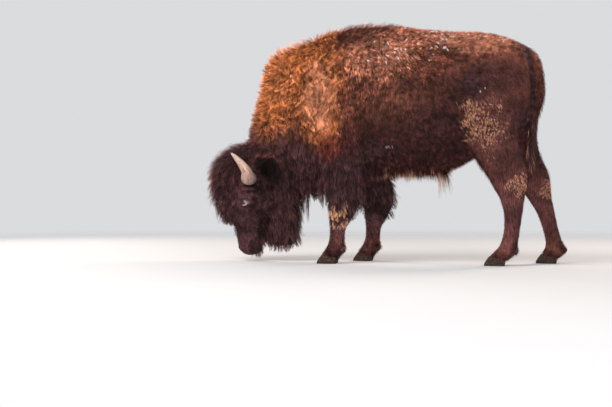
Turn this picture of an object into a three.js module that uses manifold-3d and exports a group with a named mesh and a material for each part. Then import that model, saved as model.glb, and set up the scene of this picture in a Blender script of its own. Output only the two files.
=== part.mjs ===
// A young American bison bull in winter coat, life size, standing with its head down to graze.
// Millimetres, +Z up. It faces -X, its left side is towards -Y, and its eight claws stand on Z = 0.
// Each solid reaches to the tips of the coat that grows there.
import * as THREE from "three";
import { LoftGeometry } from "three/addons/geometries/LoftGeometry.js";
import { mergeVertices } from "three/addons/utils/BufferGeometryUtils.js";
import Module from "manifold-3d";

const wasm = await Module();
wasm.setup();

// ---------------------------------------------------------------- driving dimensions

const GAP = 0.3; // clearance between touching sub-parts
const FINE = 4; // detail smaller than this is melted into the flesh
const HUMP = 1672; // height of the back over the shoulders
const LOIN = 1604; // height of the back over the loins
const BELLY = 600; // height of the belly's coat
const BARREL = 318; // half width of the barrel
const FORE_TRACK = 172; // half the distance between the forefeet
const HIND_TRACK = 160; // half the distance between the hind feet
const EYE = { x: -984, y: 121, z: 416, radius: 21 };
const CLAW = { length: 138, width: 54, height: 62, split: 8 };
const LEFT = -1;
const RIGHT = 1;

// How far back each leg is swung from the left one's stance, by height above the ground.
const SWING = {
  foreleg_left: [[0, 0], [1100, 0]],
  foreleg_right: [[0, 197], [60, 197], [350, 193], [600, 135], [1100, 0]],
  hindleg_left: [[0, 0], [1300, 0]],
  hindleg_right: [
    [0, 345], [60, 345], [110, 322], [170, 290], [250, 255], [336, 225], [435, 190],
    [520, 172], [640, 152], [800, 137], [915, 136], [1040, 108], [1300, 0],
  ],
};

// ---------------------------------------------------------------- solids and booleans

// A geometry as a manifold-3d solid, turned right side out if its faces point inwards.
function solid(geometry) {
  const bare = new THREE.BufferGeometry().setAttribute("position", geometry.getAttribute("position"));
  if (geometry.index) bare.setIndex(geometry.index);
  const merged = mergeVertices(bare, 1e-3);
  const triVerts = new Uint32Array(merged.index.array);
  const vertProperties = merged.getAttribute("position").array;
  const made = new wasm.Manifold(new wasm.Mesh({ numProp: 3, vertProperties, triVerts }));
  if (made.volume() > 0) return made;
  return new wasm.Manifold(new wasm.Mesh({ numProp: 3, vertProperties, triVerts: triVerts.reverse() }));
}

// The largest piece of a solid as a geometry, so that a cut leaves no crumbs.
function geometryOf(manifold) {
  const [largest] = manifold.simplify(GAP / 4).decompose().sort((a, b) => b.volume() - a.volume());
  const { numProp, vertProperties, triVerts } = largest.getMesh();
  const positions = new THREE.InterleavedBuffer(vertProperties, numProp);
  return new THREE.BufferGeometry()
    .setAttribute("position", new THREE.InterleavedBufferAttribute(positions, 3, 0))
    .setIndex(new THREE.BufferAttribute(triVerts, 1));
}

const join = (...solids) => solids.reduce((all, next) => all.add(next));
const carve = (from, ...tools) => tools.reduce((left, tool) => left.subtract(tool), from);

// Both sides of a cut by the plane through two points of the XZ plane, with the gap between them.
// The first one lies to the left of the way from start to end, as seen from the animal's left.
function part(whole, [startX, startZ], [endX, endZ]) {
  const normal = new THREE.Vector3(startZ - endZ, 0, endX - startX).normalize();
  const offset = normal.dot(new THREE.Vector3(startX, 0, startZ));
  return [
    whole.trimByPlane(normal.toArray(), offset + GAP / 2),
    whole.trimByPlane(normal.clone().negate().toArray(), -offset + GAP / 2),
  ];
}

// A function that reads a smooth curve through rows of numbers, each led by its parameter.
function smooth(rows) {
  const starts = rows.map((row) => row[0]);
  const width = rows[0].length - 1;
  const values = rows.flatMap((row) => row.slice(1));
  const curve = new THREE.CubicInterpolant(starts, values, width, new Array(width));
  return (at) => [...curve.evaluate(THREE.MathUtils.clamp(at, starts[0], starts.at(-1)))];
}

// ---------------------------------------------------------------- lofts

// A closed skin over a row of rings, each turned so that it runs counter-clockwise as seen from the next.
function skin(rings) {
  const centre = (ring) => ring.reduce((sum, p) => sum.add(p), new THREE.Vector3()).divideScalar(ring.length);
  const [start, next] = [centre(rings[0]), centre(rings[1])];
  const arm = (point) => point.clone().sub(start);
  const normal = rings[0].reduce((sum, p, i, ring) =>
    sum.add(arm(p).cross(arm(ring[(i + 1) % ring.length]))), new THREE.Vector3());
  const turned = normal.dot(next.sub(start)) < 0 ? rings.map((ring) => ring.toReversed()) : rings;
  return solid(new LoftGeometry(turned, { capStart: true, capEnd: true }));
}

// A body part as a loft through stations. Each station is a closed section between two points of the
// XZ plane: over, at the back or front, and under, at the belly or rear.
//   half    half width
//   widest  how far up from under the widest level is, as a share
//   crest   exponent of the superellipse on the over side: 2 is an ellipse, less is a ridge
//   keel    the same on the under side
// The rings are spread over the stations along a smooth curve. swing moves a point back by its height.
function loft(stations, { rings: count, sides, side = 0, swing = () => [0], grow = 0 }) {
  const at = smooth(stations.map((s, i) => {
    const { over, under, half, widest = 0.5, crest = 2, keel = 2 } = s;
    return [i, ...over, ...under, half, widest, crest, keel];
  }));
  const rings = [];
  for (let i = 0; i < count; i++) {
    const share = i / (count - 1);
    const [overX, overZ, underX, underZ, half, widest, crest, keel] = at(share * (stations.length - 1));
    const over = new THREE.Vector2(overX, overZ);
    const under = new THREE.Vector2(underX, underZ);
    const outward = over.clone().sub(under).normalize().multiplyScalar(grow);
    over.add(outward);
    under.sub(outward);
    const middle = under.clone().lerp(over, widest);
    rings.push(Array.from({ length: sides }, (_, j) => {
      const turn = (j / sides) * 2 * Math.PI;
      const up = Math.cos(turn);
      const across = Math.sin(turn);
      const power = 2 / (up > 0 ? crest : keel);
      const reach = middle.clone().lerp(up > 0 ? over : under, Math.abs(up) ** power);
      const width = Math.sign(across) * Math.abs(across) ** power * (half + grow);
      return new THREE.Vector3(reach.x + swing(reach.y)[0], side + width, reach.y);
    }));
  }
  return skin(rings);
}

// A tapered tube along a curve. radii gives [half thickness, half width] at each share of its length,
// and flat is the direction in which it is thin.
function taper(points, radii, { rings, sides, flat = new THREE.Vector3(0, 0, 1), grow = 0 }) {
  const curve = new THREE.CatmullRomCurve3(points.map((p) => new THREE.Vector3(...p)));
  const at = smooth(radii);
  return skin(Array.from({ length: rings + 1 }, (_, i) => {
    const along = curve.getTangentAt(i / rings);
    const thin = flat.clone().addScaledVector(along, -flat.dot(along)).normalize();
    const wide = new THREE.Vector3().crossVectors(along, thin);
    const [thickness, width] = at(i / rings);
    const end = i === 0 ? -grow : i === rings ? grow : 0;
    return Array.from({ length: sides }, (_, j) => {
      const turn = (j / sides) * 2 * Math.PI;
      return curve.getPointAt(i / rings)
        .addScaledVector(along, end)
        .addScaledVector(thin, Math.cos(turn) * (thickness + grow))
        .addScaledVector(wide, Math.sin(turn) * (width + grow));
    });
  }));
}

// A muscle or bone that swells under the skin, as an ellipsoid on both sides of the body.
function swelling([x, y, z], [rx, ry, rz], [across, down] = [10, 6]) {
  return join(...[LEFT, RIGHT].map((way) =>
    solid(new THREE.SphereGeometry(1, across, down).scale(rx, ry, rz).translate(x, way * y, z))));
}

// ---------------------------------------------------------------- trunk, neck and head

function trunk() {
  return loft([
    { over: [-520, 1602], under: [-520, 470], half: 235, widest: 0.42, crest: 1.6 },
    { over: [-400, 1640], under: [-400, 492], half: 262, widest: 0.42, crest: 1.5 },
    { over: [-254, 1668], under: [-254, 545], half: 282, widest: 0.4, crest: 1.5 },
    { over: [-90, HUMP], under: [-90, 582], half: 298, widest: 0.39, crest: 1.55 },
    { over: [60, HUMP - 14], under: [60, BELLY], half: 310, widest: 0.39, crest: 1.65 },
    { over: [220, LOIN + 16], under: [220, BELLY], half: BARREL, widest: 0.4, crest: 1.85 },
    { over: [373, LOIN], under: [373, BELLY + 8], half: BARREL - 4, widest: 0.41, crest: 1.95 },
    { over: [508, LOIN - 12], under: [508, BELLY + 55], half: 294, widest: 0.42, crest: 1.95 },
    { over: [643, LOIN - 17], under: [643, 735], half: 276, widest: 0.44, crest: 1.95 },
    { over: [776, LOIN - 48], under: [776, 800], half: 262, widest: 0.46, crest: 1.9 },
    { over: [872, LOIN - 84], under: [872, 860], half: 236, widest: 0.48, crest: 1.8 },
    { over: [936, LOIN - 120], under: [936, 920], half: 196, widest: 0.5, crest: 1.8 },
    { over: [966, 1430], under: [966, 990], half: 140 },
    { over: [978, 1340], under: [978, 1090], half: 70 },
  ], { rings: 18, sides: 24 });
}

// The neck drops from the hump to the poll, with its rings fanned out from the breast.
function neck() {
  return loft([
    { over: [-380, 1630], under: [-380, 500], half: 255, widest: 0.42, crest: 1.5 },
    { over: [-590, 1577], under: [-490, 448], half: 244, widest: 0.43, crest: 1.6 },
    { over: [-770, 1510], under: [-552, 440], half: 232, widest: 0.45, crest: 1.7 },
    { over: [-872, 1405], under: [-578, 440], half: 222, widest: 0.48, crest: 1.8 },
    { over: [-899, 1240], under: [-590, 432], half: 212, widest: 0.5, crest: 1.9 },
    { over: [-944, 1085], under: [-598, 416], half: 203, widest: 0.5 },
    { over: [-982, 935], under: [-606, 396], half: 192, widest: 0.5 },
    { over: [-1000, 800], under: [-640, 380], half: 172, widest: 0.5 },
  ], { rings: 10, sides: 22 });
}

// The skull with its flesh, from the poll down to the lips.
function skull() {
  return loft([
    { over: [-1040, 812], under: [-860, 790], half: 100, crest: 2.2 },
    { over: [-1100, 725], under: [-800, 680], half: 138, widest: 0.55, crest: 2.6 },
    { over: [-1124, 620], under: [-775, 570], half: 150, widest: 0.58, crest: 2.8 },
    { over: [-1130, 520], under: [-782, 465], half: 138, widest: 0.58, crest: 2.8 },
    { over: [-1126, 430], under: [-800, 380], half: 122, widest: 0.56, crest: 2.6 },
    { over: [-1113, 340], under: [-826, 305], half: 104, widest: 0.54, crest: 2.5 },
    { over: [-1094, 250], under: [-850, 235], half: 86, widest: 0.52, crest: 2.4 },
    { over: [-1076, 175], under: [-866, 172], half: 76, widest: 0.52, crest: 2.4 },
    { over: [-1062, 112], under: [-876, 116], half: 78, widest: 0.55, crest: 2.5, keel: 2.2 },
    { over: [-1042, 66], under: [-884, 74], half: 70, widest: 0.55, crest: 2.5, keel: 2.2 },
    { over: [-1010, 38], under: [-906, 42], half: 46, widest: 0.55 },
  ], { rings: 12, sides: 16 });
}

// The bonnet of long hair that stands on the forehead and falls over the face.
function bonnet() {
  return loft([
    { over: [-985, 862], under: [-925, 780], half: 75, widest: 0.4 },
    { over: [-1060, 847], under: [-930, 740], half: 120, widest: 0.4 },
    { over: [-1150, 817], under: [-955, 700], half: 150, widest: 0.4, crest: 2.2 },
    { over: [-1235, 755], under: [-985, 640], half: 166, widest: 0.36, crest: 2.2 },
    { over: [-1284, 675], under: [-1010, 575], half: 166, widest: 0.34, crest: 2.2 },
    { over: [-1302, 590], under: [-1030, 505], half: 152, widest: 0.32, crest: 2.1 },
    { over: [-1290, 495], under: [-1050, 430], half: 131, widest: 0.32 },
    { over: [-1262, 405], under: [-1068, 355], half: 106, widest: 0.35 },
    { over: [-1226, 330], under: [-1080, 298], half: 78, widest: 0.4 },
    { over: [-1180, 276], under: [-1090, 262], half: 42 },
  ], { rings: 10, sides: 16 });
}

// The beard hangs from the jaw and throat to a hand above the ground.
function beard() {
  return loft([
    { over: [-790, 560], under: [-600, 480], half: 140 },
    { over: [-808, 450], under: [-588, 400], half: 124 },
    { over: [-826, 350], under: [-586, 325], half: 106 },
    { over: [-846, 260], under: [-588, 250], half: 90 },
    { over: [-864, 185], under: [-592, 185], half: 74 },
    { over: [-868, 128], under: [-602, 135], half: 56 },
    { over: [-838, 92], under: [-628, 102], half: 34 },
    { over: [-780, 80], under: [-680, 84], half: 12 },
  ], { rings: 8, sides: 12 });
}

const HORN = {
  path: (way) => [
    [-954, way * 110, 588], [-946, way * 180, 588], [-936, way * 232, 594], [-933, way * 264, 631],
    [-959, way * 278, 674], [-990, way * 283, 711], [-1019, way * 279, 740], [-1045, way * 268, 761],
  ],
  radii: [
    [0, 48, 48], [0.24, 48, 48], [0.36, 44, 44], [0.49, 36, 36],
    [0.64, 28, 28], [0.78, 20, 20], [0.9, 12, 12], [1, 5, 5],
  ],
};
const horn = (way, grow = 0) => taper(HORN.path(way), HORN.radii, { rings: 10, sides: 11, grow });

const EAR = {
  path: (way) => [
    [-905, way * 122, 676], [-872, way * 176, 694], [-826, way * 222, 714], [-774, way * 254, 726],
  ],
  radii: [[0, 20, 26], [0.3, 20, 38], [0.6, 17, 42], [0.85, 11, 27], [1, 4, 6]],
};
// The hollow of the ear faces forward and out.
const ear = (way, grow = 0) => {
  const flat = new THREE.Vector3(-0.65, way * 0.75, 0);
  return taper(EAR.path(way), EAR.radii, { rings: 6, sides: 10, flat, grow });
};

const eye = (way, grow = 0) =>
  solid(new THREE.SphereGeometry(EYE.radius + grow, 12, 8).translate(EYE.x, way * EYE.y, EYE.z));

// The tuft of hair at the sheath, under the belly.
function sheath() {
  return loft([
    { over: [340, 680], under: [460, 700], half: 46 },
    { over: [362, 600], under: [446, 606], half: 34 },
    { over: [386, 545], under: [436, 548], half: 20 },
    { over: [402, 490], under: [426, 492], half: 9 },
    { over: [412, 455], under: [420, 455], half: 3 },
  ], { rings: 5, sides: 8 });
}

// ---------------------------------------------------------------- legs

const FORELEG = [
  { over: [-420, 1010], under: [-130, 1010], half: 90 },
  { over: [-458, 860], under: [-100, 860], half: 114 },
  { over: [-455, 730], under: [-98, 735], half: 120, widest: 0.45 },
  { over: [-439, 610], under: [-106, 615], half: 112, widest: 0.45 },
  { over: [-422, 510], under: [-110, 505], half: 100, widest: 0.5 },
  { over: [-402, 430], under: [-124, 405], half: 86, widest: 0.55 },
  { over: [-391, 365], under: [-168, 330], half: 72, widest: 0.58 },
  { over: [-375, 300], under: [-226, 285], half: 60 },
  { over: [-367, 235], under: [-260, 235], half: 51 },
  { over: [-371, 165], under: [-262, 160], half: 49 },
  { over: [-383, 118], under: [-264, 110], half: 57 },
  { over: [-404, 84], under: [-280, 74], half: 57 },
  { over: [-424, 56], under: [-300, 40], half: 58 },
  { over: [-428, 30], under: [-312, 22], half: 50 },
];

const HINDLEG = [
  { over: [650, 1330], under: [890, 1350], half: 58 },
  { over: [590, 1215], under: [960, 1235], half: 98 },
  { over: [556, 1080], under: [972, 1120], half: 118 },
  { over: [545, 955], under: [918, 985], half: 122 },
  { over: [552, 845], under: [894, 865], half: 110 },
  { over: [573, 755], under: [912, 760], half: 95 },
  { over: [612, 675], under: [938, 685], half: 81 },
  { over: [655, 618], under: [957, 622], half: 69, widest: 0.45 },
  { over: [694, 560], under: [960, 575], half: 61, widest: 0.45 },
  { over: [733, 500], under: [950, 505], half: 59 },
  { over: [766, 448], under: [942, 440], half: 55 },
  { over: [796, 350], under: [926, 345], half: 49 },
  { over: [799, 260], under: [913, 255], half: 46 },
  { over: [785, 172], under: [899, 165], half: 47 },
  { over: [764, 120], under: [890, 110], half: 56 },
  { over: [728, 84], under: [870, 72], half: 57 },
  { over: [702, 56], under: [836, 42], half: 58 },
  { over: [694, 30], under: [818, 22], half: 50 },
];

const LEGS = [
  { name: "foreleg_left", way: LEFT, stations: FORELEG, track: FORE_TRACK, toe: -456 },
  { name: "foreleg_right", way: RIGHT, stations: FORELEG, track: FORE_TRACK, toe: -456 },
  { name: "hindleg_left", way: LEFT, stations: HINDLEG, track: HIND_TRACK, toe: 669 },
  { name: "hindleg_right", way: RIGHT, stations: HINDLEG, track: HIND_TRACK, toe: 669 },
].map((leg) => ({ ...leg, swing: smooth(SWING[leg.name]) }));

const limb = ({ stations, way, track, swing }) =>
  loft(stations, { side: way * track, swing, rings: stations.length, sides: 14 });

// One of a foot's two claws, flat on the ground. place is -1 for the outer claw and +1 for the inner one.
function claw({ way, track, toe, swing }, place, grow = 0) {
  const { length, width, height, split } = CLAW;
  const front = toe + swing(0)[0];
  const back = front + length;
  return loft([
    { over: [front, -grow], under: [back, -grow], half: width / 2, crest: 2.4 },
    { over: [front + 5, 18], under: [back + 3, 16], half: width / 2 + 1, crest: 2.3 },
    { over: [front + 24, height * 0.75], under: [back + 2, height * 0.55], half: width / 2 - 1 },
    { over: [front + 38, height + grow], under: [back - 6, height * 0.7 + grow], half: width / 2 - 6 },
  ], { side: way * (track - place * (width + split) / 2), rings: 4, sides: 12, grow });
}

// One of the two small claws behind the fetlock.
function dewclaw({ way, track, stations, swing }, place, grow = 0) {
  const fetlock = stations.find(({ over }) => over[1] < 125);
  const [x, z] = [fetlock.under[0] - 5, fetlock.under[1] - 18];
  return solid(new THREE.SphereGeometry(1, 8, 4)
    .scale(17 + grow, 13 + grow, 20 + grow)
    .translate(x + swing(z)[0], way * (track - place * 30), z));
}

// The stretch of the body that belongs to a leg: a rounded outline in the XZ plane, run outwards from
// close to the midline.
function region(outline, way, grow = 0) {
  const points = outline.map(([x, z]) => new THREE.Vector2(x, z));
  const centre = new THREE.Box2().setFromPoints(points).getCenter(new THREE.Vector2());
  const spread = points.map((p) => p.clone().sub(centre).normalize().multiplyScalar(2 * grow).add(p));
  const [inner, outer] = [30 - grow, 600];
  const prism = new THREE.ExtrudeGeometry(new THREE.Shape(spread), {
    depth: outer - inner,
    bevelEnabled: false,
  });
  return solid(prism.rotateX(Math.PI / 2).translate(0, way === LEFT ? -inner : outer, 0));
}

// An arch that springs from the two ends of a leg's region and rises to its top.
function arch([fromX, fromZ], [toX, toZ], top, steps = 9) {
  return Array.from({ length: steps + 1 }, (_, i) => {
    const share = i / steps;
    const base = THREE.MathUtils.lerp(fromZ, toZ, share);
    const rise = Math.sin(Math.PI * share) ** 0.6 * (top - (fromZ + toZ) / 2);
    return [THREE.MathUtils.lerp(fromX, toX, (1 - Math.cos(Math.PI * share)) / 2), base + rise];
  });
}

const FORE_REGION = [[-475, -20], ...arch([-475, 560], [-72, 560], 900), [160, 520], [160, -20]];
const HIND_REGION = [[520, -20], ...arch([520, 700], [1010, 760], 1290), [1260, 640], [1260, -20]];

// ---------------------------------------------------------------- tail

const TAIL = {
  path: [
    [920, 0, 1450], [972, 0, 1424], [1008, 0, 1362], [1024, 0, 1275], [1034, -2, 1172],
    [1018, -6, 1060], [990, -10, 950], [972, -14, 850], [970, -16, 750], [984, -18, 660], [1004, -18, 580],
  ],
  radii: [
    [0, 34, 34], [0.1, 42, 40], [0.25, 44, 42], [0.42, 46, 42], [0.55, 36, 36],
    [0.66, 26, 28], [0.78, 27, 27], [0.9, 22, 22], [1, 5, 5],
  ],
};
const tail = (grow = 0) =>
  taper(TAIL.path, TAIL.radii, { rings: 14, sides: 10, flat: new THREE.Vector3(1, 0, 0), grow });

// ---------------------------------------------------------------- the whole animal

const FINISHES = {
  coat: { colour: 0x4a2a1f, roughness: 0.92 },
  horn: { colour: 0xb59c85, roughness: 0.55 },
  eye: { colour: 0x14100f, roughness: 0.08 },
  claw: { colour: 0x2a211d, roughness: 0.6 },
};

function mesh(name, manifold, finish) {
  const { colour, roughness } = FINISHES[finish];
  const made = new THREE.Mesh(
    geometryOf(manifold),
    new THREE.MeshStandardMaterial({ color: colour, roughness, metalness: 0 }),
  );
  made.name = name;
  return made;
}

const SIDES = [["left", LEFT], ["right", RIGHT]];
const PLACES = [["outer", -1], ["inner", 1]];

const brow = swelling([-985, 96, 436], [58, 34, 46]);
const cheek = swelling([-852, 74, 400], [82, 44, 110]);
const nostril = swelling([-1030, 46, 92], [34, 27, 34], [8, 5]);

const sockets = [tail(GAP), ...SIDES.flatMap(([, way]) => [horn(way, GAP), ear(way, GAP), eye(way, GAP)])];
const feet = LEGS.flatMap((leg) =>
  PLACES.flatMap(([, place]) => [claw(leg, place, GAP), dewclaw(leg, place, GAP)]));
const limbs = LEGS.map(limb);
const body = join(trunk(), neck(), skull(), bonnet(), beard(), brow, cheek, nostril, sheath(), ...limbs);
const flesh = carve(body.simplify(FINE), ...sockets, ...feet);

const outlineOf = ({ name }) => (name.startsWith("fore") ? FORE_REGION : HIND_REGION);
const core = carve(flesh, ...LEGS.map((leg) => region(outlineOf(leg), leg.way, GAP)));
const [front, trunkPart] = part(core, [-455, 300], [-585, 1700]);
const [headPart, neckPart] = part(front, [-560, 300], [-1000, 990]);

const animal = new THREE.Group();
animal.add(mesh("trunk", trunkPart, "coat"));
animal.add(mesh("neck", neckPart, "coat"));
animal.add(mesh("head", headPart, "coat"));
animal.add(mesh("tail", tail(), "coat"));
for (const leg of LEGS) {
  animal.add(mesh(leg.name, flesh.intersect(region(outlineOf(leg), leg.way)), "coat"));
  for (const [label, place] of PLACES) {
    animal.add(mesh(`${leg.name}_claw_${label}`, claw(leg, place), "claw"));
    animal.add(mesh(`${leg.name}_dewclaw_${label}`, dewclaw(leg, place), "claw"));
  }
}
for (const [side, way] of SIDES) {
  animal.add(mesh(`horn_${side}`, horn(way), "horn"));
  animal.add(mesh(`ear_${side}`, ear(way), "coat"));
  animal.add(mesh(`eye_${side}`, eye(way), "eye"));
}

// The middle of the whole animal's footprint is the origin.
const bounds = new THREE.Box3().setFromObject(animal);
animal.position.copy(bounds.getCenter(new THREE.Vector3()).setZ(bounds.min.z).negate());

export default animal;
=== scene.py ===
"""A young American bison bull with its head down to graze, in its winter coat.

The flesh bodies of the frame are joined into one skin, which is drawn in by the depth of the
coat and shaped round the eyes, nostrils and lips. Eyes, horns and claws stay pieces of their own.
The coat is made of closed locks of hair that are rooted on the skin and lie along it.
Everything is in metres. The animal faces -X and its left side is on -Y.
"""

import math
from typing import NamedTuple

import bmesh
import bpy
import numpy as np
from bpy.props import FloatProperty, FloatVectorProperty, IntProperty, PointerProperty
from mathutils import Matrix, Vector
from mathutils.bvhtree import BVHTree
from mathutils.kdtree import KDTree


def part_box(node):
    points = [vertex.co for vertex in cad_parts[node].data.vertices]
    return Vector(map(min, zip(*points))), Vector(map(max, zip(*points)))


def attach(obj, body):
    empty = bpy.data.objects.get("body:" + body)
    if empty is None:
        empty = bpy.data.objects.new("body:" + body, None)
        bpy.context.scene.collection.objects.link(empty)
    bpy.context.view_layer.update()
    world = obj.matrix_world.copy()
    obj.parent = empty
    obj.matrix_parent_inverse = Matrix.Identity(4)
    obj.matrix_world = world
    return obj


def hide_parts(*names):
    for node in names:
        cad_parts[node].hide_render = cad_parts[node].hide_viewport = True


bl_info = {
    "name": "Grazing Bison",
    "version": (1, 0, 0),
    "blender": (4, 5, 0),
    "location": "3D View > Sidebar > Bison",
    "description": "A grazing bison bull with a modelled winter coat",
    "category": "Object",
}

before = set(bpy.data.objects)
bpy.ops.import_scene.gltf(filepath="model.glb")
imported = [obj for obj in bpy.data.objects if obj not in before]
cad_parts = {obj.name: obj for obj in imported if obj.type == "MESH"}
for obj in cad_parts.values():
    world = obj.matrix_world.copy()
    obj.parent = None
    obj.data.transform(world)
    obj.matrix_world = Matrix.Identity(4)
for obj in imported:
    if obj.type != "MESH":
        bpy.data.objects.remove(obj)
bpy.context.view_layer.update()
BODY = "root"
MM = 0.001
TURN = 2 * math.pi


def middle_of(node):
    """The middle of a node's box."""
    low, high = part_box(node)
    return (np.array(low) + np.array(high)) / 2


# ---------------------------------------------------------------- working with numbers


def unit(vectors):
    """Vectors brought to a length of one."""
    return vectors / np.maximum(np.linalg.norm(vectors, axis=-1, keepdims=True), 1e-9)


def square_to(axis, direction):
    """The way that a direction points across an axis."""
    return unit(direction - axis * np.dot(direction, axis))


def ramp(values, low, high):
    """0 at low and 1 at high, eased between them."""
    t = np.clip((values - low) / (high - low), 0, 1)
    return t * t * (3 - 2 * t)


def fade(values, low, high):
    """1 at low and 0 at high, eased between them."""
    return 1 - ramp(values, low, high)


def bell(distance, width):
    """1 at no distance, and a third of it one width away."""
    return np.exp(-((distance / width) ** 2))


# ---------------------------------------------------------------- places on the animal
# Places below are on the animal's own drawing, where the withers stand near x = 0 and the eyes
# at x = -0.984. SHIFT takes a drawn place to the frame.

EYE = np.array((-0.984, 0.121, 0.416))
EYE_RADIUS = 0.0205
SHIFT = np.array((middle_of("eye_left")[0] - EYE[0], 0, 0))

LEGS = ("foreleg_left", "foreleg_right", "hindleg_left", "hindleg_right")
FLESH = ("trunk", "neck", "head", "tail", *LEGS)
EARS = ("ear_left", "ear_right")
SIDES = (("left", -1), ("right", 1))


class Swing(NamedTuple):
    """How far a right leg stands behind the left one. A right leg is drawn where the left one is."""

    heights: tuple  # in millimetres
    behind: tuple  # the distance at each of those heights, in millimetres
    top: tuple  # the heights between which the body takes over from the leg, in metres
    front: tuple  # the places along the body between which the leg begins, in metres
    rear: tuple  # and between which it ends

    def at(self, x, z):
        """The distance in metres, at points on the animal."""
        shift = np.interp(z / MM, self.heights, self.behind) * MM
        return shift * fade(z, *self.top) * ramp(x, *self.front) * fade(x, *self.rear)


FORE_SWING = Swing(
    (0, 60, 350, 600, 1100), (197, 197, 193, 135, 0),
    top=(0.6, 0.75), front=(-0.58, -0.52), rear=(0.25, 0.35),
)
HIND_SWING = Swing(
    (0, 60, 110, 170, 250, 336, 435, 520, 640, 800, 915, 1040, 1300),
    (345, 345, 322, 290, 255, 225, 190, 172, 152, 137, 136, 108, 0),
    top=(1.0, 1.3), front=(0.42, 0.6), rear=(1.28, 1.3),
)


class Patch(NamedTuple):
    """How the coat grows round one place. Lengths are in millimetres."""

    piece: str
    at: tuple  # x, distance from the midline, z
    reach: float
    lie: tuple  # which way the hair lies: x, outwards, z
    length: float
    width: float
    curl: float
    clump: float
    depth: float  # from the outline down to the skin
    cover: float  # how many locks lie over each other
    wild: float  # how unevenly the locks stand
    stand: float  # degrees that they stand off the skin beyond what fills the outline
    loose: float  # how far single clumps reach out of the outline


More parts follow.
